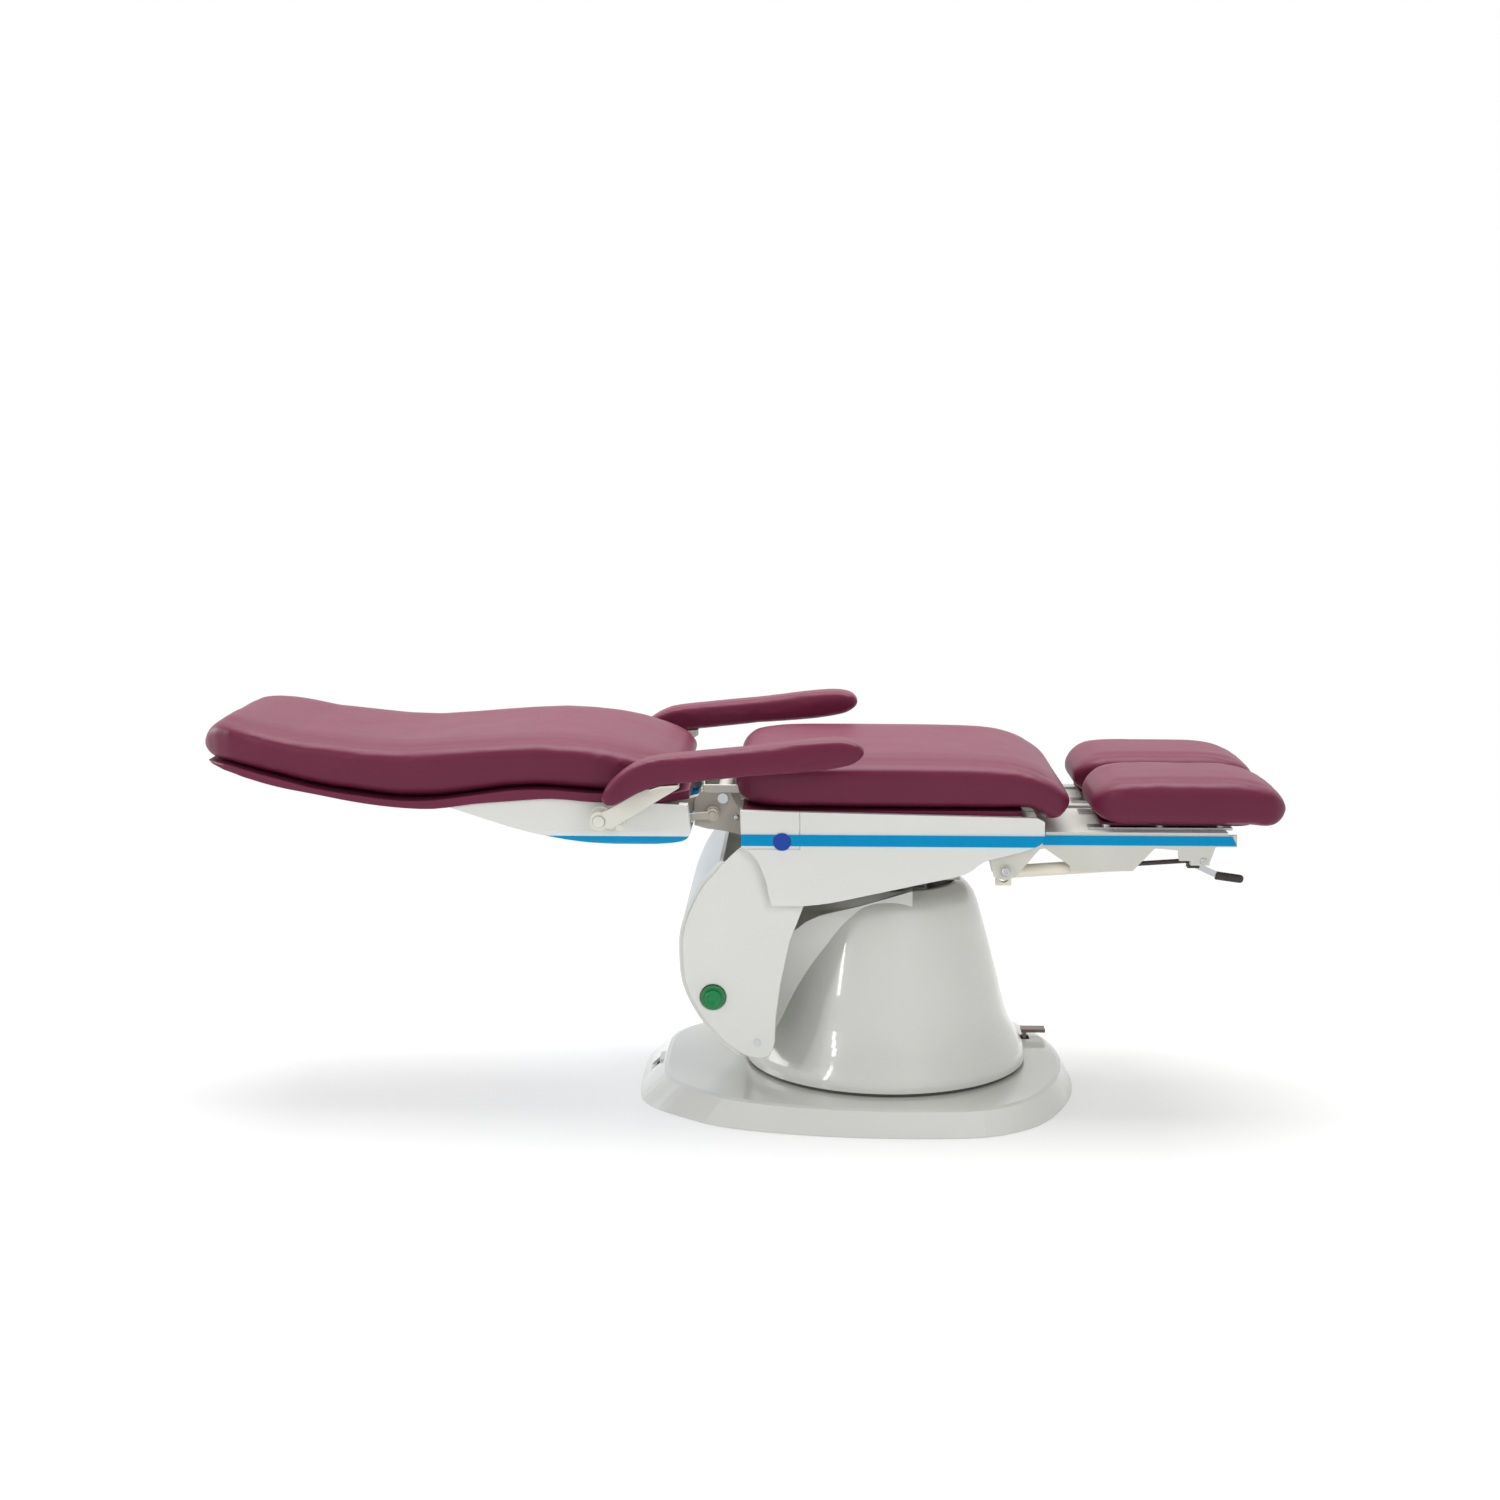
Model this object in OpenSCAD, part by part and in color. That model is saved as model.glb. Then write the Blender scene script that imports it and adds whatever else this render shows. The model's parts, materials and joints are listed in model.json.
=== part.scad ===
// Powered treatment chair, lying flat: a swivel pedestal with a three-stage lifting column
// carries a tilting seat, a reclining back, two level-keeping armrests and a split leg rest.
// The origin is on the floor on the swivel axis. +X points to the foot end, -Y is the
// patient's right, which is the near side in the reference view.

/* [Base] */
// Length of the base over the skirt
base_len = 773; // [700:1:850]
// Width of the base over the skirt
base_w = 680; // [620:1:740]
// Distance from the swivel axis to the head end of the base
base_head = 437; // [410:1:460]
// Height of the base cover
base_h = 42; // [38:1:50]
// Thickness of the steel base plate
plate_t = 14; // [10:1:18]
// Wall of the moulded base cover
base_wall = 4; // [3:0.5:5]
// Width of the mains inlet
inlet_w = 48; // [40:1:56]

/* [Pedestal] */
// Radius of the pedestal at its foot
ped_r = 250; // [235:1:262]
// Height of the pedestal cover
ped_h = 330; // [326:1:345]
// Half width of the flat-sided housing behind the pedestal
housing_half = 148; // [140:1:155]
// Wall of the pedestal cover
ped_wall = 4; // [3:0.5:5]
// Width of the square outer column tube
column_w = 140; // [130:1:144]
// Wall of the column tubes
column_wall = 5; // [4:0.5:6]
// Travel of the lifting column
lift_travel = 300; // [240:10:310]
// Radius of the swivel spigot
spigot_r = 40; // [35:1:45]

/* [Tilt and covers] */
// Distance of the tilt axis behind the swivel axis
tilt_back = 235; // [228:1:242]
// Height of the tilt axis above the lifting head
tilt_rise = 70; // [67:1:73]
// Radius of the tilt shaft
tilt_r = 12; // [10:0.5:14]
// Half width over the rear side covers
rear_half = 236; // [232:1:238]
// Thickness of the rear side covers
rear_t = 8; // [6:1:10]
// Radius of the green push button
button_r = 14; // [12:0.5:16]
// Travel of the push button
button_travel = 4; // [3:0.5:5]

/* [Seat] */
// Length of the seat cushion
seat_len = 570; // [550:1:575]
// Width of the seat cushion
seat_w = 516; // [500:1:520]
// Distance from the swivel axis to the head end of the seat cushion
seat_head = 267; // [264:1:270]
// Height of the underside of the seat cushion above the tilt axis
seat_rise = 81; // [80:0.5:83]
// Thickness of the seat cushion at its crown
seat_t = 90; // [84:1:94]
// Thickness of the seat board
board_t = 8; // [6:1:10]
// How far the side covers stand inside the seat cushion's edge
side_set_in = 3; // [1:0.5:5]
// Wall of the seat side covers
side_wall = 13; // [11:1:14]
// Height of the blue stripe
stripe_h = 19; // [15:1:22]
// Depth of the blue stripe's lower edge below the seat cushion
stripe_drop = 58; // [56:1:60]

/* [Back] */
// Distance of the recline axis behind the swivel axis
recline_back = 285; // [283:1:287]
// Height of the recline axis above the seat cushion's underside
recline_rise = 9; // [8:0.5:10]
// Radius of the recline pin
recline_r = 9; // [8:0.5:9.5]
// Crank radius of the recline actuator
crank_r = 60; // [58:1:61]
// Full recline angle, from flat to upright
recline_max = 70; // [60:1:70]
// Length of the back cushion
back_len = 846; // [820:1:880]
// Width of the back cushion
back_w = 510; // [490:1:514]
// Width of the white back shell
shell_w = 480; // [470:1:484]
// Wall of the back shell
shell_wall = 4; // [3:0.5:5]

/* [Armrests] */
// Length of an armrest pad
arm_len = 434; // [400:1:440]
// Width of an armrest pad
arm_w = 70; // [60:1:72]
// Gap between the back and an armrest pad
arm_gap = 15; // [14:1:22]
// Distance from the recline axis to the armrest pivot, along the back
arm_back = 200; // [190:1:205]
// Crank radius of the armrest's level-keeping link
level_r = 30; // [28:1:31]

/* [Leg rests] */
// Distance from the swivel axis to the knee axis
knee_x = 231; // [229:1:232]
// Depth of the knee axis below the seat cushion's underside
knee_drop = 51; // [50:0.5:52]
// Radius of the knee shaft
knee_r = 9; // [8:0.5:10]
// Length of a leg cushion
leg_len = 331; // [310:1:345]
// Width of a leg cushion
leg_w = 250; // [236:1:250]
// Thickness of a leg cushion at its crown
leg_t = 80; // [72:1:84]
// Gap between the two leg cushions
leg_gap = 18; // [14:1:30]
// Travel of the telescopic leg rest
leg_travel = 120; // [80:5:120]
// Slope of the gas spring, in degrees
gas_slope = 4; // [3:0.5:5]
// Radius of the gas spring's cylinder
gas_r = 11; // [9:0.5:12]

/* [Quality] */
// Facets of round parts
smoothness = 64; // [32:8:96]

/* [Hidden] */
$fn = smoothness;
// Running clearance of a shaft in its bore, and the gap left beside a moving face
run_gap = 0.05;
face_gap = 0.3;
// Overrun of every cut
over = 1;

// Steps of a smoothed stretch between two of its points
arc_steps = 5;

function blend_at(a, b, c, d, t) =
    0.5 * ((2 * b) + (c - a) * t + (2 * a - 5 * b + 4 * c - d) * t * t
    + (3 * b - 3 * c + d - a) * t * t * t);

// A smooth open curve through the points, ends kept
function curve(p, n) = let (m = len(p)) concat(
    [for (i = [0 : m - 2]) for (k = [0 : n - 1])
        blend_at(p[max(i - 1, 0)], p[i], p[i + 1], p[min(i + 2, m - 1)], k / n)],
    [p[m - 1]]);

// Points given as shares of a width and a height, from a corner
function place(shares, x0, w, z0, h) = [for (s = shares) [x0 + s[0] * w, z0 + s[1] * h]];

function mirrored(p) = [for (i = [len(p) - 1 : -1 : 0]) [p[i][0], -p[i][1]]];

function signed_power(v, e) = (v < 0 ? -1 : 1) * pow(abs(v), e);

// An outline in the XZ plane, extruded along Y
module upright(points, y0, y1) {
    translate([0, y1, 0]) rotate([90, 0, 0]) linear_extrude(y1 - y0) polygon(points);
}

// A round bar along Y
module cross_bar(x, z, r, y0, y1) {
    translate([x, y1, z]) rotate([90, 0, 0]) cylinder(r = r, h = y1 - y0);
}

module box(x0, x1, y0, y1, z0, z1) {
    translate([x0, y0, z0]) cube([x1 - x0, y1 - y0, z1 - z0]);
}

module both_sides() {
    children();
    mirror([0, 1, 0]) children();
}

// A closed skin through rings of points, each ring seen clockwise from the first end
module skin(rings) {
    n = len(rings);
    m = len(rings[0]);
    points = [for (r = rings) for (p = r) p];
    walls = [for (i = [0 : n - 2]) for (j = [0 : m - 1]) for (h = [0, 1])
        h == 0 ? [i * m + j, i * m + (j + 1) % m, (i + 1) * m + (j + 1) % m]
               : [i * m + j, (i + 1) * m + (j + 1) % m, (i + 1) * m + j]];
    caps = [for (j = [1 : m - 2]) for (h = [0, 1])
        h == 0 ? [0, j + 1, j]
               : [(n - 1) * m, (n - 1) * m + j, (n - 1) * m + j + 1]];
    polyhedron(points, concat(walls, caps));
}

// Base
base_x0 = -base_head;
// Half the outline of the base, from the head end to the foot end, as shares
base_shares = [[0, 0], [0.001, 0.1], [0.012, 0.215], [0.05, 0.29], [0.108, 0.352],
    [0.19, 0.42], [0.32, 0.468], [0.477, 0.495], [0.63, 0.5], [0.772, 0.484],
    [0.868, 0.42], [0.925, 0.335], [0.968, 0.22], [0.992, 0.11], [1, 0]];
base_half = curve(place(base_shares, base_x0, base_len, 0, -base_w), 3);
base_loop = concat(base_half, [for (p = mirrored(base_half)) if (abs(p[1]) > 0) p]);
// The plateau against the foot outline, and its forward shift
plateau_len_share = 0.926;
plateau_w_share = 0.941;
plateau_shift_share = 0.0087;
edge_r = 10;
skirt_gap = 1;

module base_slab(share_x, share_y, inset, z, t) {
    translate([plateau_shift_share * base_len * (1 - share_x) / (1 - plateau_len_share), 0, z])
        linear_extrude(t) offset(delta = -inset) scale([share_x, share_y]) polygon(base_loop);
}

// The skirt flares outwards to the floor, and its upper edge is rounded off
module base_form(inset, z0, z1) {
    rim_share = 0.25;
    hull() {
        base_slab(1, 1, inset, z0, skirt_gap);
        base_slab(plateau_len_share, plateau_w_share, inset, z1 - edge_r, skirt_gap);
        base_slab(plateau_len_share, plateau_w_share, inset + edge_r * rim_share,
            z1 - edge_r * rim_share - skirt_gap, skirt_gap);
        base_slab(plateau_len_share, plateau_w_share, inset + edge_r, z1 - skirt_gap, skirt_gap);
    }
}

ring_gap = 1.5;
ring_z = base_h + ring_gap;
ring_t = 4.5;
ring_step = 6;
ped_z = ring_z + ring_t;
boss_inset = 54;
boss_r = ped_r - boss_inset;
boss_t = 9.5;
boss_gap = 2;
// Every pin ends this far outside what it holds
pin_proud = 1;
inlet_d = 38;
inlet_h = 22;
inlet_z = plate_t + face_gap;
inlet_set_in = 30;
inlet_x = base_x0 + inlet_set_in;
inlet_wall = 4;

module base_cover() {
    color("#CFCFCB") difference() {
        base_form(0, skirt_gap, base_h);
        base_form(base_wall, skirt_gap - over, base_h - base_wall);
        cylinder(r = boss_r + boss_gap, h = base_h + over);
        box(base_x0 - over, inlet_x + inlet_d + base_wall, -inlet_w / 2 - face_gap,
            inlet_w / 2 + face_gap, plate_t, inlet_z + inlet_h + face_gap);
        box(pedal_x - pedal_hub_r - face_gap, pedal_x + pedal_hub_r + face_gap,
            pedal_y - pedal_w / 2 - boss_gap, pedal_y + pedal_w / 2 + boss_gap, plate_t,
            base_h + over);
    }
}

module mains_inlet() {
    color("#CBCCC5") difference() {
        box(inlet_x, inlet_x + inlet_d, -inlet_w / 2, inlet_w / 2, inlet_z, inlet_z + inlet_h);
        box(inlet_x - over, inlet_x + inlet_d / 2, -inlet_w / 2 + 2 * inlet_wall,
            inlet_w / 2 - 2 * inlet_wall, inlet_z + inlet_wall, inlet_z + inlet_h - inlet_wall);
    }
}

module swivel_ring() {
    color("#6B6C6E") difference() {
        translate([0, 0, plate_t]) cylinder(r = boss_r - ring_step, h = ring_z - plate_t - boss_t);
        translate([0, 0, plate_t - over]) cylinder(r = spigot_r + run_gap, h = base_h);
    }
}

module swivel_plate() {
    color("#2F3032") union() {
        translate([0, 0, ring_z]) cylinder(r = ped_r - ring_t / 2, h = ring_t);
        translate([0, 0, ring_z - boss_t + face_gap]) cylinder(r = boss_r, h = boss_t);
        translate([0, 0, plate_t + boss_gap]) cylinder(r = spigot_r, h = base_h - plate_t);
    }
}

// Swivel brake pedal, on a pin between two ears on the base plate
pedal_x = 262;
pedal_y = 120;
pedal_w = 26;
pedal_t = 6;
pedal_len = 38;
pedal_hub_r = 9;
pedal_pin_r = 4;
pedal_rise = 3;
pedal_z = plate_t + pedal_hub_r + pedal_rise;
ear_t = 5;

// The steel plate fits inside the flared skirt at the height of its own top face
function plate_share(plateau) = 1 - (1 - plateau) * plate_t / (base_h - edge_r);

module base_plate() {
    color("#8B8D8C") union() {
        base_slab(plate_share(plateau_len_share), plate_share(plateau_w_share),
            base_wall + 2 * face_gap, 0, plate_t);
        for (s = [-1, 1]) difference() {
            translate([0, s * (pedal_w / 2 + ear_t / 2 + 2 * face_gap), 0])
                box(pedal_x - pedal_hub_r, pedal_x + pedal_hub_r, pedal_y - ear_t / 2,
                    pedal_y + ear_t / 2, plate_t - over, base_h - base_wall - boss_gap);
            cross_bar(pedal_x, pedal_z, pedal_pin_r + run_gap, pedal_y - pedal_w, pedal_y + pedal_w);
        }
    }
}

module brake_pedal() {
    color("#7A6E66") union() {
        cross_bar(pedal_x, pedal_z, pedal_hub_r, pedal_y - pedal_w / 2, pedal_y + pedal_w / 2);
        box(pedal_x - pedal_t / 2, pedal_x + pedal_t / 2, pedal_y - pedal_w / 2,
            pedal_y + pedal_w / 2, pedal_z, ped_z + 2 * pedal_t);
        box(pedal_x - pedal_t, pedal_x + pedal_len, pedal_y - pedal_w / 2,
            pedal_y + pedal_w / 2, ped_z + pedal_t, ped_z + 2 * pedal_t);
        cross_bar(pedal_x, pedal_z, pedal_pin_r, pedal_y - pedal_w / 2 - ear_t - pin_proud,
            pedal_y + pedal_w / 2 + ear_t + pin_proud);
    }
}

// Pedestal
mouth_drop = 6;
cone_h = ped_h - mouth_drop;
cone_shares = [[1, 0], [0.985, 0.07], [0.874, 0.244], [0.796, 0.472], [0.714, 0.7],
    [0.645, 0.88], [0.597, 0.95], [0.524, 1]];
cone_line = [for (s = curve(cone_shares, arc_steps)) [s[0] * ped_r, s[1] * cone_h]];
tube_drop = 13;
column_top = ped_z + ped_h - tube_drop;
column_z = ped_z + face_gap;
column_h = column_top - column_z;
mouth_gap = 52;
mouth_r = column_w / 2 + mouth_gap;
housing_shares = [[0, 0.2], [0.1, 0.12], [0.35, 0.06], [1, 0.05], [1, 1], [0.85, 0.96],
    [0.671, 0.915], [0.542, 0.888], [0.444, 0.867], [0.364, 0.833], [0.297, 0.788], [0.21, 0.72],
    [0.1, 0.68], [0.03, 0.65], [0, 0.58]];
housing_front = 40;
housing_back = 246;
// The housing's sides lean out upwards: shares of its half width and height
draft_shares = [[0.6, 0], [0.76, 0.35], [0.95, 0.7], [1, 0.86], [1, 1]];

module cone(inset, drop) {
    line = [for (p = cone_line) [p[0] - inset, p[1] - drop]];
    translate([0, 0, ped_z]) rotate_extrude() polygon(concat(line, [[0, cone_h - drop], [0, -drop]]));
}

module housing(inset, drop) {
    outline = place(housing_shares, inset - housing_back, housing_front + housing_back - inset,
        ped_z + drop, ped_h - inset - drop);
    side = [for (s = draft_shares) [s[0] * housing_half - inset, ped_z + s[1] * ped_h]];
    other = [for (i = [len(side) - 1 : -1 : 0]) [-side[i][0], side[i][1]]];
    intersection() {
        upright(outline, inset - housing_half, housing_half - inset);
        translate([-housing_back - over, 0, 0]) rotate([90, 0, 90])
            linear_extrude(housing_front + housing_back + 2 * over) polygon(concat(side, other));
    }
}

module pedestal_cover() {
    color("#CBCCC5") difference() {
        union() {
            cone(0, 0);
            housing(0, 0);
        }
        cone(ped_wall, over);
        housing(ped_wall, 0);
        translate([0, 0, ped_z + ped_h / 2]) cylinder(r = mouth_r, h = ped_h);
    }
}

module tube(w, wall, z, h) {
    difference() {
        translate([0, 0, z + h / 2]) cube([w, w, h], center = true);
        translate([0, 0, z + h / 2]) cube([w - 2 * wall, w - 2 * wall, h + 2 * over], center = true);
    }
}

// Each column tube runs in the next larger one with a sliding gap on every side
slide_gap = 0.5;
column_w2 = column_w - 2 * column_wall - 2 * slide_gap;
column_w3 = column_w2 - 2 * column_wall - 2 * slide_gap;
stage_drop = 5;
head_gap = 7;
head_z = ped_z + ped_h + head_gap;
head_t = 12;
screw_r = 12;

module column_outer() {
    color("#A7A9AA") tube(column_w, column_wall, ped_z, column_h);
}

module column_middle() {
    color("#B4B6B7") tube(column_w2, column_wall, ped_z + stage_drop, column_h);
}

module column_inner() {
    foot_t = 15;
    foot_z = ped_z + 2 * stage_drop;
    color("#BFC1C2") difference() {
        union() {
            tube(column_w3, column_wall, foot_z, head_z - foot_z);
            translate([0, 0, foot_z + foot_t / 2]) cube([column_w3, column_w3, foot_t], center = true);
        }
        translate([0, 0, ped_z]) cylinder(r = screw_r + run_gap, h = ped_h / 2);
    }
}

module lift_drive() {
    motor_r = 32;
    motor_gap = 12;
    screw_spare = 20;
    motor_x = -column_w / 2 - motor_r - motor_gap;
    color("#3A3C3F") union() {
        translate([motor_x, 0, ped_z]) cylinder(r = motor_r, h = 4 * motor_r);
        box(motor_x, -column_w / 2, -motor_r / 2, motor_r / 2, ped_z, ped_z + motor_r);
        translate([0, 0, ped_z]) cylinder(r = screw_r, h = lift_travel + screw_spare);
    }
}

// Lifting head, on top of the inner column tube
tilt_x = -tilt_back;
tilt_z = head_z + tilt_rise;
cheek_half = 86;
cheek_t = 10;
cheek_r = 22;
tilt_ear_t = 10;
// The rails fit inside the seat and, with the level-keeping links beside them, the back shell
rail_set_in = 116;
shell_step = 36;
rail_inner = min(seat_w, shell_w + shell_step) / 2 - rail_set_in;
motor_x = 92;
motor_r = 20;
motor_top = head_z - face_gap;
motor_h = 140;
rod_r = 10;
rod_pin_r = 6;
rod_pin_rise = 50;
rod_pin_z = tilt_z + rod_pin_rise;
cheek_shares = [[-0.065, 0.7], [-0.03, 0.45], [0, 0.18], [0.5, 0], [1, 0], [1, 0.3], [0.14, 0.55],
    [0.07, 0.74]];
tie_r = 15;
tie_forward = 10;
tie_drop = 43;
flange_lip = 4;
screw_gap = 2;

module head_bracket() {
    cheek = place(cheek_shares, tilt_x, tilt_back + column_w / 2 + motor_r, head_z,
        tilt_z + cheek_r - head_z);
    color("#9A9CA0") union() {
        difference() {
            box(-column_w3 / 2, motor_x + motor_r + head_t, -cheek_half, cheek_half, head_z,
                head_z + head_t);
            translate([motor_x, 0, head_z - over]) cylinder(r = motor_r - flange_lip, h = head_t + 2 * over);
            translate([0, 0, head_z - over]) cylinder(r = screw_r + screw_gap, h = head_t + 2 * over);
        }
        both_sides() {
            difference() {
                union() {
                    upright(cheek, cheek_half - cheek_t, cheek_half);
                    cross_bar(tilt_x, tilt_z, cheek_r, cheek_half - cheek_t, cheek_half);
                }
                cross_bar(tilt_x, tilt_z, tilt_r + run_gap, cheek_half - 2 * cheek_t,
                    cheek_half + cheek_t);
            }
        }
        cross_bar(tilt_x + tie_forward, tilt_z - tie_drop, tie_r, -rear_half + rear_t,
            rear_half - rear_t);
    }
}

module tilt_shaft() {
    half = cheek_half + tilt_ear_t + 4 * pin_proud;
    color("#C9CBCC") cross_bar(tilt_x, tilt_z, tilt_r, -half, half);
}

module tilt_motor() {
    bore_z = motor_top - motor_h + 4 * rod_pin_r;
    color("#B4AFA5") difference() {
        translate([motor_x, 0, motor_top - motor_h]) cylinder(r = motor_r, h = motor_h);
        translate([motor_x, 0, bore_z]) cylinder(r = rod_r + run_gap, h = motor_h);
    }
}

module tilt_rod() {
    rod_z = motor_top - motor_h + 5 * rod_pin_r;
    color("#C4C6C8") union() {
        translate([motor_x, 0, rod_z]) cylinder(r = rod_r, h = rod_pin_z + rod_r - rod_z);
        cross_bar(motor_x, rod_pin_z, rod_pin_r, -rod_lug_half, rod_lug_half);
    }
}

// Rear side covers: D-shaped plates either side of the housing
d_len = 221;
d_reach = 116;
d_x0 = tilt_x - d_reach;
d_foot_gap = 57;
d_z0 = ped_z + d_foot_gap;
d_rise = 15;
d_h = tilt_z + d_rise - d_z0;
d_back_shares = [[0.439, 1], [0.35, 0.95], [0.249, 0.88], [0.15, 0.81], [0.059, 0.7], [0.008, 0.6],
    [0, 0.5], [0.023, 0.36], [0.11, 0.24], [0.22, 0.145], [0.339, 0.07], [0.475, 0.015], [0.606, 0],
    [0.675, 0.02], [0.706, 0.08]];
d_front_shares = [[0.715, 0.2], [0.747, 0.35], [0.819, 0.56], [0.919, 0.72], [1, 0.86], [0.864, 0.995]];
d_back = curve(place(d_back_shares, d_x0, d_len, d_z0, d_h), 3);
d_loop = concat(d_back, place(d_front_shares, d_x0, d_len, d_z0, d_h));
button_shares = [0.231, 0.293];
button_x = d_x0 + d_len * button_shares[0];
button_z = d_z0 + d_h * button_shares[1];
cover_screw_shares = [0.57, 0.077];
cover_screw_x = d_x0 + d_len * cover_screw_shares[0];
cover_screw_z = d_z0 + d_h * cover_screw_shares[1];
cover_screw_r = 3;
bezel_r = 21;
bezel_t = 4;

module rear_side_cover(with_button) {
    y0 = rear_half - rear_t;
    difference() {
        upright(d_loop, y0, rear_half);
        if (with_button)
            cross_bar(button_x, button_z, button_r + 2 * bezel_t, y0 - over, rear_half + over);
        cross_bar(cover_screw_x, cover_screw_z, cover_screw_r + run_gap, y0 - over, rear_half + over);
    }
}

module rear_side_cover_right() {
    color("#D8D9D5") mirror([0, 1, 0]) rear_side_cover(true);
}

module rear_side_cover_left() {
    color("#D8D9D5") rear_side_cover(false);
}

// The cover between the two plates bulges a little past their back edge and is screwed to
// them through a flange at each side
rear_lip = 7;
rear_wall = 5;
rear_flange = 15;
rear_cut_share = 0.44;
rear_top_drop = 10;
rear_top_z = tilt_z - rear_top_drop;

module rear_band(y0, y1, depth) {
    translate([0, y1, 0]) rotate([90, 0, 0]) linear_extrude(y1 - y0)
        difference() {
            offset(delta = rear_lip) polygon(d_loop);
            offset(delta = rear_lip - depth) polygon(d_loop);
            translate([d_x0 + d_len * rear_cut_share, d_z0 - 2 * rear_lip])
                square([d_len, d_h + 4 * rear_lip]);
            translate([d_x0 - 2 * rear_lip, rear_top_z])
                square([d_len, d_h]);
        }
}

module rear_cover() {
    half = rear_half - rear_t;
    color("#D2D3CF") union() {
        rear_band(-half, half, rear_wall);
        both_sides() rear_band(half - rear_wall, half, rear_flange);
    }
}

module cover_screws() {
    color("#B9BABB") both_sides() union() {
        cross_bar(cover_screw_x, cover_screw_z, cover_screw_r, rear_half - rear_t, rear_half);
        cross_bar(cover_screw_x, cover_screw_z, 2 * cover_screw_r, rear_half,
            rear_half + cover_screw_r / 2);
    }
}

module button_bezel() {
    barrel = button_r + 2 * bezel_t - face_gap;
    depth = 22;
    color("#16783F") mirror([0, 1, 0]) difference() {
        union() {
            cross_bar(button_x, button_z, bezel_r, rear_half, rear_half + bezel_t);
            cross_bar(button_x, button_z, min(barrel, bezel_r - bezel_t / 4),
                rear_half - rear_t - depth, rear_half + bezel_t / 4);
        }
        cross_bar(button_x, button_z, button_r + run_gap, rear_half - rear_t - depth + bezel_t,
            rear_half + 2 * bezel_t);
    }
}

module push_button() {
    stem = 12;
    dome_share = 0.35;
    rim = stem + bezel_t + button_travel;
    dome = [for (a = [0 : 15 : 75]) [button_r * cos(a), rim + button_r * dome_share * sin(a)]];
    color("#008A4B") translate([button_x, -rear_half + stem, button_z]) rotate([90, 0, 0])
        rotate_extrude()
            polygon(concat([[0, 0], [button_r, 0]], dome, [[0, rim + button_r * dome_share]]));
}

// Seat frame: two rails under the seat board, joined by cross bars
rail_t = 30;
rail_outer = rail_inner + rail_t;
seat_z = tilt_z + seat_rise;
rail_top = seat_z - board_t;
rail_h = 40;
rail_head_gap = 17;
rail_x0 = -seat_head + rail_head_gap;
rail_knee_gap = 12;
rail_x1 = knee_x - knee_r - rail_knee_gap;
knee_z = seat_z - knee_drop;
bar_h = 16;
bar_w = 40;
bar_shares = [0.011, 0.315, 0.6045, 0.8695];
bar_xs = [for (s = bar_shares) rail_x0 + s * (rail_x1 - rail_x0)];
side_half = seat_w / 2 - side_set_in;
side_in = side_half - side_wall;
recline_x = -recline_back;
recline_z = seat_z + recline_rise;
gusset_t = 8;
gusset_shares = [[1, -0.1], [0.55, -0.08], [0.24, 0.02], [0, 0.06], [-0.28, 0.1], [-0.53, 0.18],
    [-0.53, 0.74], [-0.39, 0.96], [-0.11, 1.05], [0.19, 1.01], [0.41, 0.57], [1, 0.57]];
// Half the angle through which the recline crank turns: it hangs straight down at half travel
half_swing = recline_max / 2;
crank_pin_r = 5;
crank_x = recline_x + crank_r * sin(half_swing);
crank_z = recline_z - crank_r * cos(half_swing);
push_z = recline_z - crank_r * (1 + cos(half_swing)) / 2;
push_r = 20;
// The level-keeping link's two pins lie on the same crank direction. It runs inside the shell.
level_angle = 236.5;
level_dx = level_r * cos(level_angle);
level_dz = level_r * sin(level_angle);
link_gap = 25;
link_in = rail_outer + link_gap;
link_t = 8;
link_space = 2;
link_pin_r = 6;
gas_dx = -41;
gas_dz = -50;
gas_pin_r = 6;
pin_head = 3;
gas_cap_t = 8;
knee_gap = 2;
knee_out = side_in - knee_gap;
knee_plate_t = 6;
knee_in_gap = 18;
knee_in = rail_outer + knee_in_gap;
knee_plate_back = 66;
knee_plate_len = 85;
knee_plate_drop = 17;
knee_plate_shares = [[0, 0.31], [0.07, 0.065], [0.29, 0], [0.5, 0.065], [1, 0.57], [1, 0.79],
    [0.62, 1], [0.02, 1]];
rod_lug_half = 24;
lug_t = 8;
lug_in = 14;

gusset_back = 6;
gusset_len = 80;
gusset_drop = 60;
gusset_h = 74;

module seat_gusset() {
    outline = place(gusset_shares, recline_x - gusset_back, gusset_len, recline_z - gusset_drop,
        gusset_h);
    difference() {
        union() {
            upright(outline, rail_outer, rail_outer + gusset_t);
            box(rail_x0, recline_x - gusset_back + gusset_len, rail_outer - over, rail_outer + over,
                rail_top - rail_h + over, rail_top - bar_h);
            cross_bar(recline_x, recline_z, 1.7 * recline_r, rail_outer, rail_outer + gusset_t);
            cross_bar(recline_x + level_dx, recline_z + level_dz, link_pin_r, rail_outer,
                link_in + link_t + link_space);
            cross_bar(recline_x + level_dx, recline_z + level_dz, 2 * link_pin_r, rail_outer,
                link_in - link_space / 2);
        }
        cross_bar(recline_x, recline_z, recline_r + run_gap, rail_outer - over,
            rail_outer + gusset_t + over);
    }
}

module knee_plate(y0) {
    x0 = knee_x - knee_plate_back;
    z0 = knee_z + gas_dz - knee_plate_drop;
    difference() {
        upright(place(knee_plate_shares, x0, knee_plate_len, z0, rail_top - bar_h / 2 - z0), y0,
            y0 + knee_plate_t);
        cross_bar(knee_x, knee_z, knee_r + run_gap, y0 - over, y0 + knee_plate_t + over);
    }
}

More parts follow.
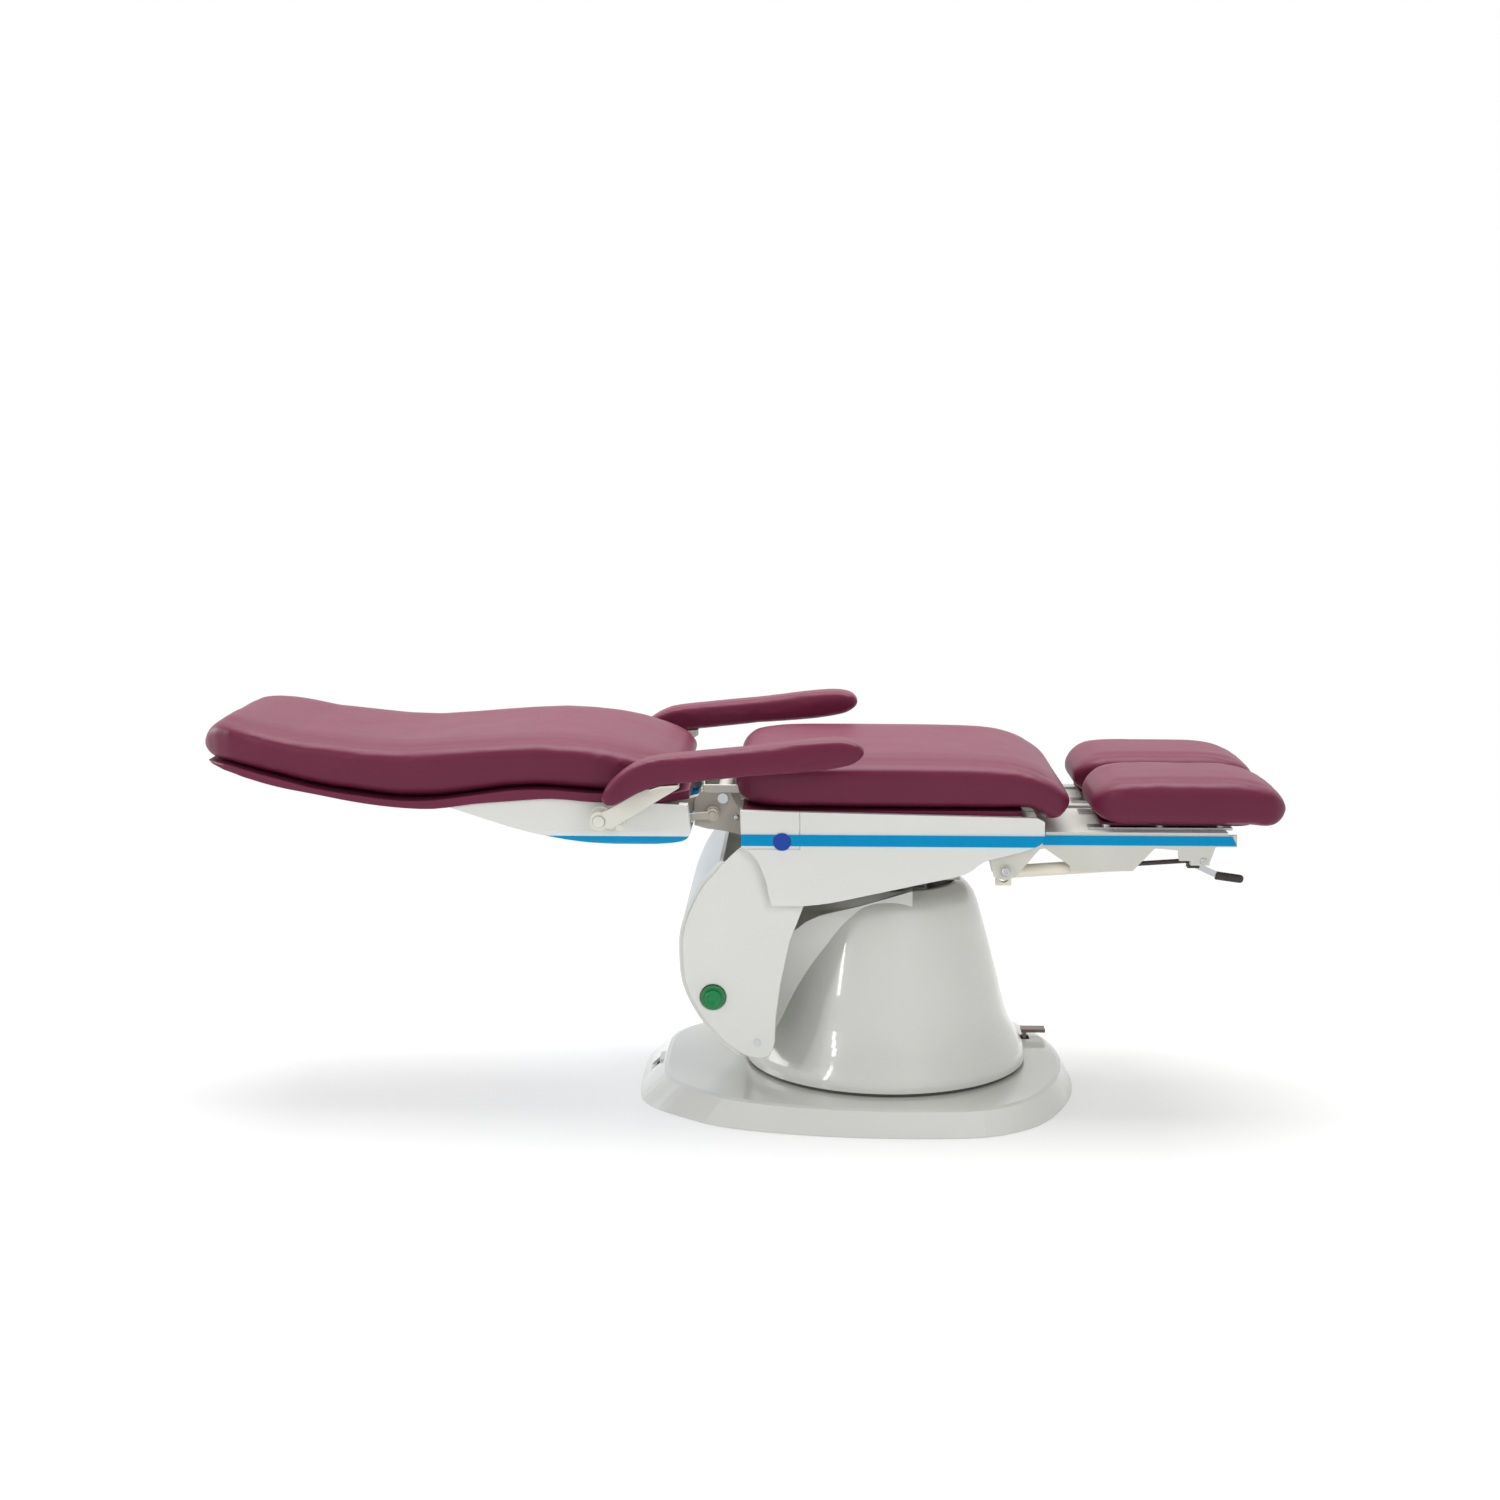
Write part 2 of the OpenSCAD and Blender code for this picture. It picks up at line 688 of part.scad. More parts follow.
module seat_frame() {
    slot_x = 34;
    slot_gap = 1.4;
    slot_r = rod_pin_r + slot_gap;
    ear_in = cheek_half + pin_proud;
    color("#B4AFA5") union() {
        both_sides() {
            box(rail_x0, rail_x1, rail_inner, rail_outer, rail_top - rail_h, rail_top);
            difference() {
                box(tilt_x - cheek_r, tilt_x + cheek_r, ear_in, ear_in + tilt_ear_t,
                    tilt_z - cheek_r + 2 * pin_proud, rail_top);
                cross_bar(tilt_x, tilt_z, tilt_r + run_gap, cheek_half - over, rail_inner);
            }
            seat_gusset();
            knee_plate(knee_in);
            knee_plate(knee_out - knee_plate_t);
            cross_bar(knee_x + gas_dx, knee_z + gas_dz, gas_pin_r, knee_in, knee_out);
            cross_bar(knee_x + gas_dx, knee_z + gas_dz, gas_pin_r + pin_head, knee_out - pin_proud,
                knee_out + gas_cap_t);
            difference() {
                box(motor_x - slot_x / 2, motor_x + 2 * slot_x, lug_in, lug_in + lug_t,
                    rod_pin_z - 2 * slot_r, rail_top);
                hull() {
                    cross_bar(motor_x, rod_pin_z, slot_r, lug_in - over, lug_in + lug_t + over);
                    cross_bar(motor_x + slot_x, rod_pin_z, slot_r, lug_in - over, lug_in + lug_t + over);
                }
            }
        }
        for (x = bar_xs) box(x, x + bar_w, -side_in, side_in, rail_top - bar_h, rail_top);
        box(bar_xs[2], bar_xs[3], -lug_in - lug_t, lug_in + lug_t, rail_top - bar_h / 2, rail_top);
    }
}

// The recline pin and the knee shaft
module hinge_pins() {
    half = rail_outer + gusset_t + 3 * pin_proud;
    color("#C9CBCC") union() {
        cross_bar(recline_x, recline_z, recline_r, -half, half);
        cross_bar(knee_x, knee_z, knee_r, -knee_out, knee_out);
    }
}

// Recline actuator along the middle of the seat
push_bore = 10;
push_x1 = bar_xs[2] + bar_w;

module recline_motor() {
    motor_gap = 46;
    x0 = crank_x + motor_gap;
    color("#2E2F31") difference() {
        union() {
            translate([x0, 0, push_z]) rotate([0, 90, 0]) cylinder(r = push_r, h = push_x1 - x0);
            box(bar_xs[2], push_x1, -push_r, push_r, push_z - push_r, rail_top - bar_h);
        }
        translate([x0 - over, 0, push_z]) rotate([0, 90, 0])
            cylinder(r = push_bore + run_gap, h = push_x1 - x0 - push_r);
    }
}

module recline_rod() {
    eye_wall = 10;
    slot_gap = 1.2;
    rod_len = 150;
    eye_half = 6;
    eye_x = crank_pin_r + eye_wall;
    slot_x = crank_pin_r + slot_gap;
    slot_z = crank_r * (1 - cos(half_swing)) / 2 + slot_gap;
    color("#C4C6C8") difference() {
        union() {
            translate([crank_x + 2.6 * crank_pin_r, 0, push_z]) rotate([0, 90, 0])
                cylinder(r = push_bore, h = rod_len);
            box(crank_x - eye_x, crank_x + eye_x, -eye_half, eye_half, push_z - 3 * slot_x,
                push_z + 3 * slot_x);
        }
        hull() for (s = [-1, 1])
            cross_bar(crank_x, push_z + s * slot_z, slot_x, -push_bore - over, push_bore + over);
    }
}

// Seat side covers, with a blue stripe along the side and a plain round cap
side_h = 166;
side_head_gap = 14;
side_foot_gap = 50;
side_lap = 1;
side_x0 = -seat_head + side_head_gap;
side_len = seat_len - side_head_gap - side_foot_gap;
side_z0 = seat_z + side_lap - side_h;
side_low_shares = [[1, 0.741], [0.985, 0.67], [0.921, 0.59], [0.806, 0.494], [0.741, 0.361],
    [0.6, 0.26], [0.429, 0.145], [0.3, 0.06], [0.204, 0.024]];
side_edge_shares = [[0.105, 0.024], [0.093, 0.15], [0.085, 0.28], [0.055, 0.497], [0.02, 0.6]];
side_top_shares = [[0.003, 0.62], [0, 1], [0.5, 0.97], [0.975, 0.94], [1, 0.9]];
side_loop = concat(curve(place(side_low_shares, side_x0, side_len, side_z0, side_h), 3),
    curve(place(side_edge_shares, side_x0, side_len, side_z0, side_h), 3),
    place(side_top_shares, side_x0, side_len, side_z0, side_h));
stripe_z = seat_z - stripe_drop;
cap_r = 15;
cap_shares = [0.138, 0.687];
cap_x = side_x0 + side_len * cap_shares[0];
cap_z = side_z0 + side_h * cap_shares[1];
cap_t = 2;
stripe_t = 1.5;
seam_w = 2;
seam_share = 0.194;
seam_x = side_x0 + side_len * seam_share;

module seat_side_cover() {
    difference() {
        upright(side_loop, side_in, side_half);
        box(seam_x, seam_x + seam_w, side_half - seam_w, side_half + over, stripe_z - stripe_h / 3,
            seat_z + over);
        box(side_x0 - over, seam_x + seam_w, side_half - seam_w, side_half + over,
            stripe_z - stripe_h / 3, stripe_z - stripe_h / 3 + seam_w);
    }
}

module seat_side_cover_right() {
    color("#D9DAD6") mirror([0, 1, 0]) seat_side_cover();
}

module seat_side_cover_left() {
    color("#D9DAD6") seat_side_cover();
}

module side_stripes() {
    color("#0092CA") both_sides() difference() {
        intersection() {
            upright(side_loop, side_half, side_half + stripe_t);
            box(side_x0, side_x0 + side_len, side_half, side_half + stripe_t, stripe_z,
                stripe_z + stripe_h);
        }
        cross_bar(cap_x, cap_z, cap_r + face_gap, side_half - over, side_half + 2 * cap_t);
    }
}

module side_caps() {
    color("#1F4FB0") both_sides() cross_bar(cap_x, cap_z, cap_r, side_half, side_half + cap_t);
}

module seat_board() {
    corner = 17;
    half = side_in - pin_proud;
    color("#B08A5C") translate([0, 0, rail_top])
        linear_extrude(board_t) offset(r = corner) offset(delta = -corner)
            translate([-seat_head + corner, -half])
                square([seat_len * board_share - 2 * corner, 2 * half]);
}

// Upholstery: every ring is a rounded section across the cushion. Both ends are rounded over a
// nose in side view and over a corner in plan, each given for the start and the end.
ring_n = 24;
section_pow = 0.24;
// The lower half is squarer than the upper
lower_pow = 0.22;
// The first ring of an end lies this share of the nose inside the perfect round
blunt_share = 0.05;

// Share of the full size at a distance from an end that is rounded over a length
function rounding(d, r) = d >= r ? 1 : sqrt(1 - pow(1 - d / r, 2));

// The same at a share of the length, with a rounding for either end
function end_share(t, length, ends) = let (r = t < 0.5 ? ends[0] : ends[1])
    rounding(min(t, 1 - t) * length + blunt_share * r, r);

// Half width at a share of the length
function half_at(t, length, half, taper, corners) = half * (1 - taper * pow(1 - t, 3))
    - (t < 0.5 ? corners[0] : corners[1]) * (1 - end_share(t, length, corners));

// A ring at x: top and bottom heights, half width, and how far the lower edge is drawn in
function pad_ring(x, lo, hi, half, crown, tuck) = [for (j = [0 : ring_n - 1])
    let (a = -360 * (j + 0.5) / ring_n, up = sin(a) > 0 ? 1 : 0,
        power = up > 0 ? section_pow : lower_pow, c = signed_power(cos(a), power),
        s = signed_power(sin(a), power))
    [x, half * c * (1 - tuck * (1 - up) * abs(s)),
        (lo + hi) / 2 + (hi - lo) / 2 * s + up * crown * (1 - c * c)]];

// Height of a line through shares at a share of the length
function on_line(line, t) = let (i = min(len(line) - 2, max(0, len([for (p = line) if (p[0] <= t) 1]) - 1)))
    line[i][1] + (line[i + 1][1] - line[i][1]) * (t - line[i][0]) / (line[i + 1][0] - line[i][0]);

stations = 22;
module pad(x0, length, z0, height, low, high, half, crown, tuck, taper, noses, corners) {
    skin([for (i = [0 : stations])
        let (t = (1 - cos(180 * i / stations)) / 2, e = end_share(t, length, noses),
            lo = on_line(low, t), hi = on_line(high, t), mid = (lo + hi) / 2)
        pad_ring(x0 + t * length, z0 + height * (mid + (lo - mid) * e),
            z0 + height * (mid + (hi - mid) * e), half_at(t, length, half, taper, corners),
            crown * e, tuck)]);
}

// The front lip hangs over the end of the seat board
board_share = 0.88;
seat_low_line = [[0, 0], [0.9, 0], [0.925, -0.22], [0.965, -0.3], [1, -0.16]];
seat_noses = [34, 38];
seat_corners = [105, 60];
seat_high_shares = [[0, 0.8], [0.14, 0.87], [0.45, 0.88], [0.72, 0.86], [0.85, 0.78], [0.95, 0.53],
    [1, 0.38]];
crown_share = 0.09;
tuck_share = 0.05;

module seat_cushion() {
    color("#7A3350") pad(-seat_head, seat_len, seat_z, seat_t, seat_low_line,
        curve(seat_high_shares, 3), seat_w / 2, crown_share * seat_t, tuck_share, 0, seat_noses,
        seat_corners);
}

// Back. Lines run from the head end to the hip end as shares of the cushion's length and height
back_gap = 57;
back_x0 = recline_x - back_gap - back_len;
back_drop = 8;
back_z0 = recline_z - back_drop;
back_h = 128;
back_low_shares = [[0, 0.53], [0.037, 0.53], [0.091, 0.5], [0.178, 0.367], [0.258, 0.242],
    [0.338, 0.164], [0.418, 0.102], [0.497, 0.109], [0.577, 0.18], [0.655, 0.25], [0.733, 0.258],
    [0.812, 0.219], [1, 0.18]];
back_high_shares = [[0, 0.88], [0.03, 0.95], [0.06, 0.965], [0.227, 0.865], [0.401, 0.745],
    [0.546, 0.805], [0.696, 0.865], [0.794, 0.83], [0.87, 0.75], [0.949, 0.6], [1, 0.48]];
back_noses = [42, 34];
back_corners = [125, 105];
back_low_line = curve(back_low_shares, 3);
head_taper_share = 0.15;
panel_gap = 0.8;
panel_inset = 5;
panel_start_share = 0.02;
panel_low_shares = [[1, 0.047], [0.876, 0.086], [0.81, 0.094], [0.732, 0.133], [0.654, 0.1],
    [0.575, 0.055], [0.496, -0.016], [0.416, 0], [0.337, 0.0625], [0.257, 0.156], [0.177, 0.25],
    [0.09, 0.398], [0.035, 0.477]];
panel_low = curve(place(panel_low_shares, back_x0, back_len, back_z0, back_h), 3);

function between(p, a, b) = [for (q = p) if (q[0] >= a && q[0] <= b) q];

module back_cushion() {
    color("#7A3350") pad(back_x0, back_len, back_z0, back_h, back_low_line,
        curve(back_high_shares, 3), back_w / 2, crown_share * seat_t, tuck_share, head_taper_share,
        back_noses, back_corners);
}

// The panel's plan keeps a steady distance from the cushion's
panel_edge = [for (i = [0 : stations])
    let (t = panel_start_share + (1 - panel_start_share) * i / stations)
        [back_x0 + t * back_len,
            half_at(t, back_len, back_w / 2, head_taper_share, back_corners) - panel_inset]];

module back_panel() {
    top = [for (s = back_low_line) if (s[0] >= panel_start_share)
        [back_x0 + s[0] * back_len, back_z0 + s[1] * back_h - panel_gap]];
    other = [for (i = [stations : -1 : 0]) [panel_edge[i][0], -panel_edge[i][1]]];
    color("#5C2438") intersection() {
        upright(concat(panel_low, top), -back_w, back_w);
        translate([0, 0, back_z0 - back_h]) linear_extrude(3 * back_h)
            polygon(concat(panel_edge, other));
    }
}

frame_gap = 0.5;
frame_out = rail_outer - frame_gap;
frame_bar_t = 24;
frame_in = frame_out - frame_bar_t;
frame_len = 355;
frame_bar_h = 24;
cross_backs = [165, 320];
bar_drop = 5;
arm_x = recline_x - arm_back;
arm_drop = 20;
arm_z = recline_z - arm_drop;
arm_pin_r = 10;
arm_tube_t = 4;
arm_tube_gap = 2;
crank_lug_in = 7;
crank_lug_t = 6;
crank_lug_wall = 4;
hinge_len = 57;

// A flat link between two pins: a bar with round ends
module link(a, b, r, y0, y1) {
    d = b - a;
    n = [-d[1], d[0]] * (r / norm(d));
    upright([a + n, b + n, b - n, a - n], y0, y1);
    cross_bar(a[0], a[1], r, y0, y1);
    cross_bar(b[0], b[1], r, y0, y1);
}

module back_frame() {
    top = between(panel_low, recline_x - frame_len, back_x0 + back_len);
    hinge_x = recline_x - hinge_len;
    bar = concat(top, [for (i = [len(top) - 1 : -1 : 0]) top[i] - [0, frame_bar_h]]);
    color("#B4AFA5") difference() {
        union() {
            both_sides() {
                upright(bar, frame_in, frame_out);
                upright([[recline_x, recline_z + 1.4 * recline_r], [hinge_x, top[0][1]],
                    [hinge_x, top[0][1] - frame_bar_h], [recline_x, recline_z - 1.4 * recline_r]],
                    frame_in, frame_out);
                link([recline_x, recline_z], [crank_x, crank_z], crank_pin_r + crank_lug_wall,
                    crank_lug_in, crank_lug_in + crank_lug_t);
                cross_bar(arm_x, arm_z, arm_pin_r, frame_in, arm_pin_half);
            }
            cross_bar(recline_x, recline_z, 1.4 * recline_r, -frame_out, frame_out);
            cross_bar(crank_x, crank_z, crank_pin_r, -crank_lug_in - crank_lug_t,
                crank_lug_in + crank_lug_t);
            for (d = cross_backs)
                box(recline_x - d, recline_x - d + frame_bar_h, -frame_out, frame_out,
                    recline_z - frame_bar_h, recline_z - bar_drop);
        }
        cross_bar(recline_x, recline_z, recline_r + run_gap, -rail_outer, rail_outer);
    }
}

// White shell below the back, with a blue lower edge cut off at one height
shell_len = 405;
shell_gap = 52;
shell_x1 = recline_x - shell_gap;
shell_x0 = shell_x1 - shell_len;
shell_h = 79;
shell_drop = 73;
shell_z0 = recline_z - shell_drop;
shell_low_shares = [[0, 0.83], [0.12, 0.63], [0.25, 0.42], [0.395, 0.23], [0.58, 0.06], [0.78, 0],
    [0.92, 0.06], [0.98, 0.15], [1, 0.3]];
blue_drop = 55;
blue_z = recline_z - blue_drop;
shell_corner = 26;

// A flat-sided trough seen along X, with rounded lower edges
function trough(half, z0, z1, r) = concat(
    [for (a = [180 : 90 / arc_steps : 270]) [r - half + r * cos(a), z0 + r + r * sin(a)]],
    [for (a = [270 : 90 / arc_steps : 360]) [half - r + r * cos(a), z0 + r + r * sin(a)]],
    [[half, z1], [-half, z1]]);

module shell_form(inset, rise) {
    low = curve(place(shell_low_shares, shell_x0 + inset, shell_len - 2 * inset,
        shell_z0 + inset, shell_h), 4);
    top = [for (p = between(panel_low, shell_x0 + 2 * inset, shell_x1 - 2 * inset))
        p + [0, rise]];
    half = shell_w / 2 - inset;
    intersection() {
        upright(concat(low, top), -half, half);
        translate([shell_x0 - over, 0, 0]) rotate([90, 0, 90]) linear_extrude(shell_len + 2 * over)
            polygon(trough(half, shell_z0 + inset, recline_z + shell_h, shell_corner - inset));
    }
}

module shell_body() {
    difference() {
        shell_form(0, -face_gap);
        shell_form(shell_wall, shell_h / 2);
        both_sides() cross_bar(arm_x, arm_z, arm_pin_r + arm_tube_t + arm_tube_gap, frame_out, shell_w);
        box(shell_x1 - 6 * shell_wall, shell_x1 + over, -shell_w / 2 + shell_corner,
            shell_w / 2 - shell_corner, shell_z0 + shell_corner, recline_z + shell_h);
    }
}

module back_shell() {
    color("#D9DAD6") intersection() {
        shell_body();
        box(shell_x0 - over, shell_x1 + over, -shell_w, shell_w, blue_z, recline_z + shell_h);
    }
}

module shell_trim() {
    color("#0092CA") intersection() {
        shell_body();
        box(shell_x0 - over, shell_x1 + over, -shell_w, shell_w, shell_z0 - over, blue_z);
    }
}

// Armrests
flank = max(shell_w, back_w, 2 * side_half) / 2;
hub_gap = 7;
hub_in = flank + hub_gap;
hub_t = 9.5;
arm_y = flank + arm_gap + arm_w / 2;
stop_forward = 32.5;
stop_drop = 10.5;
stop_x = arm_x + stop_forward;
stop_z = arm_z - stop_drop;
stop_r = 5;
bracket_gap = 29;
bracket_in = flank + bracket_gap;
bracket_t = 12;
boss_wall = 5;
arm_pin_half = bracket_in + bracket_t + 2 * pin_proud;
// The inner crank of the hub lies just inside the level-keeping link
inner_t = 9;
inner_in = link_in - link_space - inner_t;
pad_forward = 5;
pad_x0 = arm_x + pad_forward;
pad_rise = 20;
pad_z0 = arm_z + pad_rise;
pad_h = 122;
arm_low_shares = [[0, 0.1], [0.03, 0.05], [0.092, 0.18], [0.15, 0.295], [0.223, 0.381],
    [0.528, 0.5], [0.76, 0.62], [0.92, 0.71], [1, 0.74]];
arm_high_shares = [[0, 0.25], [0.03, 0.38], [0.092, 0.57], [0.15, 0.675], [0.223, 0.735],
    [0.528, 0.85], [0.76, 0.91], [0.92, 0.94], [1, 0.92]];
arm_noses = [14, 16];
arm_corners = [26, 26];
bracket_shares = [[-0.012, -0.07], [0.184, 0.33], [0.223, 0.345], [0.313, 0.37], [0.313, 0.345],
    [0.035, -0.26], [-0.005, -0.24]];
strip_shares = [[0.184, 0.32], [0.223, 0.37], [0.528, 0.456], [0.65, 0.503], [0.65, 0.47],
    [0.528, 0.423], [0.223, 0.345], [0.184, 0.3]];

module arm_hub() {
    color("#C9CBCC") difference() {
        union() {
            link([arm_x, arm_z], [arm_x + level_dx, arm_z + level_dz], 2 * link_pin_r, inner_in,
                inner_in + inner_t);
            cross_bar(arm_x, arm_z, arm_pin_r + arm_tube_t, inner_in, hub_in + hub_t);
            link([arm_x, arm_z], [stop_x, stop_z], 2 * stop_r, hub_in, hub_in + hub_t);
            cross_bar(arm_x, arm_z, 2 * arm_pin_r, hub_in, hub_in + hub_t);
            cross_bar(arm_x + level_dx, arm_z + level_dz, link_pin_r, inner_in,
                link_in + link_t + link_space);
            cross_bar(stop_x, stop_z, stop_r, hub_in, bracket_in + bracket_t / 2);
        }
        cross_bar(arm_x, arm_z, arm_pin_r + run_gap, inner_in - over, bracket_in);
    }
}

module level_link() {
    a = [recline_x + level_dx, recline_z + level_dz];
    b = [arm_x + level_dx, arm_z + level_dz];
    eye_wall = 4;
    color("#B4AFA5") difference() {
        union() {
            link(a, b, link_pin_r, link_in, link_in + link_t);
            for (p = [a, b]) cross_bar(p[0], p[1], link_pin_r + eye_wall, link_in, link_in + link_t);
        }
        cross_bar(a[0], a[1], link_pin_r + run_gap, link_in - over, link_in + link_t + over);
        cross_bar(b[0], b[1], link_pin_r + face_gap, link_in - over, link_in + link_t + over);
    }
}

module arm_bracket() {
    bracket_out = bracket_in + bracket_t;
    color("#DAD9CF") difference() {
        union() {
            upright(place(bracket_shares, pad_x0, arm_len, pad_z0, pad_h), bracket_in, bracket_out);
            upright(place(strip_shares, pad_x0, arm_len, pad_z0, pad_h), bracket_in,
                arm_y + arm_w / 2 - bracket_t);
            cross_bar(arm_x, arm_z, arm_pin_r + boss_wall, bracket_in, bracket_out);
        }
        cross_bar(arm_x, arm_z, arm_pin_r + run_gap, bracket_in - over, bracket_out + over);
    }
}

module arm_pad() {
    color("#6C2C45") translate([0, arm_y, 0]) pad(pad_x0, arm_len, pad_z0, pad_h,
        arm_low_shares, curve(arm_high_shares, 3), arm_w / 2, crown_share * arm_w / 2, tuck_share, 0,
        arm_noses, arm_corners);
}

module right_side() {
    mirror([0, 1, 0]) children();
}

module arm_hub_right() { right_side() arm_hub(); }
module arm_hub_left() { arm_hub(); }
module level_link_right() { right_side() level_link(); }
module level_link_left() { level_link(); }
module arm_bracket_right() { right_side() arm_bracket(); }
module arm_bracket_left() { arm_bracket(); }
module arm_pad_right() { right_side() arm_pad(); }
module arm_pad_left() { arm_pad(); }

// Leg rests, drawn for the left leg
leg_frame_len = 344;
leg_x1 = knee_x + leg_frame_len;
leg_drop = 52;
leg_z0 = knee_z - leg_drop;
side_plate_h = 67;
leg_plate_t = 6;
leg_out = knee_out - leg_plate_t - knee_gap;
leg_in_gap = 11;
leg_in = leg_gap / 2 + leg_in_gap;
knee_tube_t = 6;
top_plate_t = 4;
top_plate_gaps = [26, 15];
top_plate_lap = 6;
rib_len = 30;
rib_ys = [80, 90];
leg_shares = [[-0.03, 0.94], [1, 0.94], [1, 0.64], [0.898, 0.64], [0.875, 0.284], [0.724, 0.284],
    [0.718, 0.55], [0.605, 0.597], [0.5, 0.015], [0.2, 0], [0.195, 0.15], [0.073, 0.58], [0, 0.52],
    [-0.04, 0.67]];
leg_top_z = leg_z0 + side_plate_h;
gas_side_gap = 18;
gas_y = leg_out - leg_plate_t - gas_side_gap;
gas_x0 = knee_x + gas_dx;
gas_drop = 8.8;
gas_z0 = knee_z + gas_dz - gas_drop;
gas_len = 214;
gas_rod_r = 4;
gas_set_in = 68;
gas_end = leg_x1 - gas_set_in;
head_len = 10;
head_h = 12;
head_pin_drop = 6;
head_half = 8;
lever_half = 3;
lever_pin_r = 3;
grip_r = 6.5;
grip_len = 38;
grip_turn = 98;
lever_step = [43, -20];
runner_w = 30;
runner_h = 4;
spacer_r = 8;
spacer_h = 4;
leg_board_t = 4;
runner_gap = 100;
runner_side_gap = 20;
runner_x0 = knee_x + runner_gap;
runner_len = 2 * leg_travel;
spacer_shares = [0.13, 0.5, 0.92];
leg_pad_z = leg_top_z + runner_h + spacer_h + leg_board_t + 3 * face_gap;
leg_pad_gap = 100;
leg_pad_x = knee_x + leg_pad_gap;
leg_low_shares = [[0, 0], [0.84, 0], [0.89, -0.05], [0.95, -0.05], [1, 0]];
leg_noses = [48, 34];
leg_corners = [75, 60];
leg_high_shares = [[0, 0.74], [0.08, 0.84], [0.2, 0.895], [0.4, 0.91], [0.7, 0.9], [0.8, 0.86],
    [0.92, 0.74], [1, 0.6]];

function gas_z(x) = gas_z0 + (x - gas_x0) * tan(gas_slope);

module along_gas(x0, x1, r) {
    translate([x0, gas_y, gas_z(x0)]) rotate([0, 90 - gas_slope, 0])
        cylinder(r = r, h = (x1 - x0) / cos(gas_slope));
}

module leg_frame() {
    color("#C9C8C0") difference() {
        union() {
            for (y = [leg_in, leg_out - leg_plate_t])
                upright(place(leg_shares, knee_x, leg_x1 - knee_x, leg_z0, side_plate_h), y,
                    y + leg_plate_t);
            cross_bar(knee_x, knee_z, knee_r + knee_tube_t, leg_in, knee_in - pin_proud);
            cross_bar(knee_x, knee_z, knee_r + knee_tube_t, leg_out - leg_plate_t, leg_out);
            box(knee_x + top_plate_gaps[0], leg_x1 - top_plate_gaps[1], leg_in - top_plate_lap,
                leg_out + pin_proud, leg_top_z - top_plate_t, leg_top_z);
            box(knee_x, knee_x + rib_len, leg_in + rib_ys[0], leg_in + rib_ys[1], knee_z, leg_top_z);
            box(gas_end - head_half, gas_end + 3 * head_half, gas_y + head_half, leg_out,
                gas_z(gas_end) - top_plate_t, leg_top_z);
        }
        cross_bar(knee_x, knee_z, knee_r + run_gap, 0, knee_out);
    }
}

trim_gap = 22;

module leg_trim() {
    x0 = knee_x + trim_gap;
    z1 = stripe_z + stripe_h - top_plate_t + pin_proud;
    color("#0092CA") upright([[x0, stripe_z], [leg_x1, stripe_z], [leg_x1 - head_half, z1], [x0, z1]],
        leg_out, leg_out + stripe_t);
}

module gas_cylinder() {
    eye_half = 6;
    eye_wall = 5;
    slot_z = 9.4;
    slot_gap = 2;
    slot_x = gas_pin_r + slot_gap;
    eye_x = slot_x + eye_wall;
    eye_z = slot_z + slot_x + eye_wall;
    color("#E0DACA") difference() {
        union() {
            along_gas(gas_x0 + eye_x - slot_gap, gas_x0 + gas_len, gas_r);
            box(gas_x0 - eye_x, gas_x0 + eye_x, gas_y - eye_half, gas_y + eye_half, gas_z0 - eye_z,
                gas_z0 + eye_z);
        }
        along_gas(gas_x0 + 2 * eye_x, gas_x0 + gas_len + over, gas_rod_r + run_gap);
        hull() for (s = [-1, 1])
            cross_bar(gas_x0, gas_z0 + s * slot_z, slot_x, gas_y - gas_r, gas_y + gas_r);
    }
}

module gas_rod() {
    rod_start = 112;
    z = gas_z(gas_end);
    color("#2F2422") union() {
        along_gas(gas_x0 + rod_start, gas_end - head_half, gas_rod_r);
        difference() {
            box(gas_end - head_len, gas_end + head_len, gas_y - head_half, gas_y + head_half,
                z - head_h, z + head_h);
            box(gas_end - head_len - over, gas_end + head_len + over, gas_y - lever_half - face_gap,
                gas_y + lever_half + face_gap, z - head_h - over, z + 2 * over);
        }
        cross_bar(gas_end, z - head_pin_drop, lever_pin_r, gas_y - head_half, gas_y + head_half);
    }
}

module release_lever() {
    p = [gas_end, gas_z(gas_end) - head_pin_drop];
    q = p + lever_step;
    lever_wall = 2;
    color("#3A3130") difference() {
        union() {
            link(p, q, lever_pin_r + lever_wall, gas_y - lever_half, gas_y + lever_half);
            translate([q[0] - lever_half, gas_y, q[1]]) rotate([0, grip_turn, 0]) {
                cylinder(r = grip_r, h = grip_len);
                translate([0, 0, grip_len]) sphere(r = grip_r);
            }
        }
        cross_bar(p[0], p[1], lever_pin_r + run_gap, gas_y - grip_r, gas_y + grip_r);
    }
}

module leg_runner() {
    z = leg_top_z + face_gap;
    color("#C9CBCC") for (y = [leg_in + runner_side_gap, leg_out - runner_side_gap - runner_w]) {
        box(runner_x0, runner_x0 + runner_len, y, y + runner_w, z, z + runner_h);
        for (s = spacer_shares)
            translate([runner_x0 + s * runner_len, y + runner_w / 2, z + runner_h])
                cylinder(r = spacer_r, h = spacer_h);
    }
}

module leg_board() {
    corner = 30;
    board_inset = 45;
    board_lead = 20;
    board_len_share = 0.77;
    z = leg_top_z + face_gap + runner_h + spacer_h;
    color("#B08A5C") translate([0, 0, z])
        linear_extrude(leg_board_t) offset(r = corner) offset(delta = -corner)
            translate([leg_pad_x + board_lead, leg_gap / 2 + board_inset])
                square([leg_len * board_len_share, leg_w - 2 * board_inset]);
}

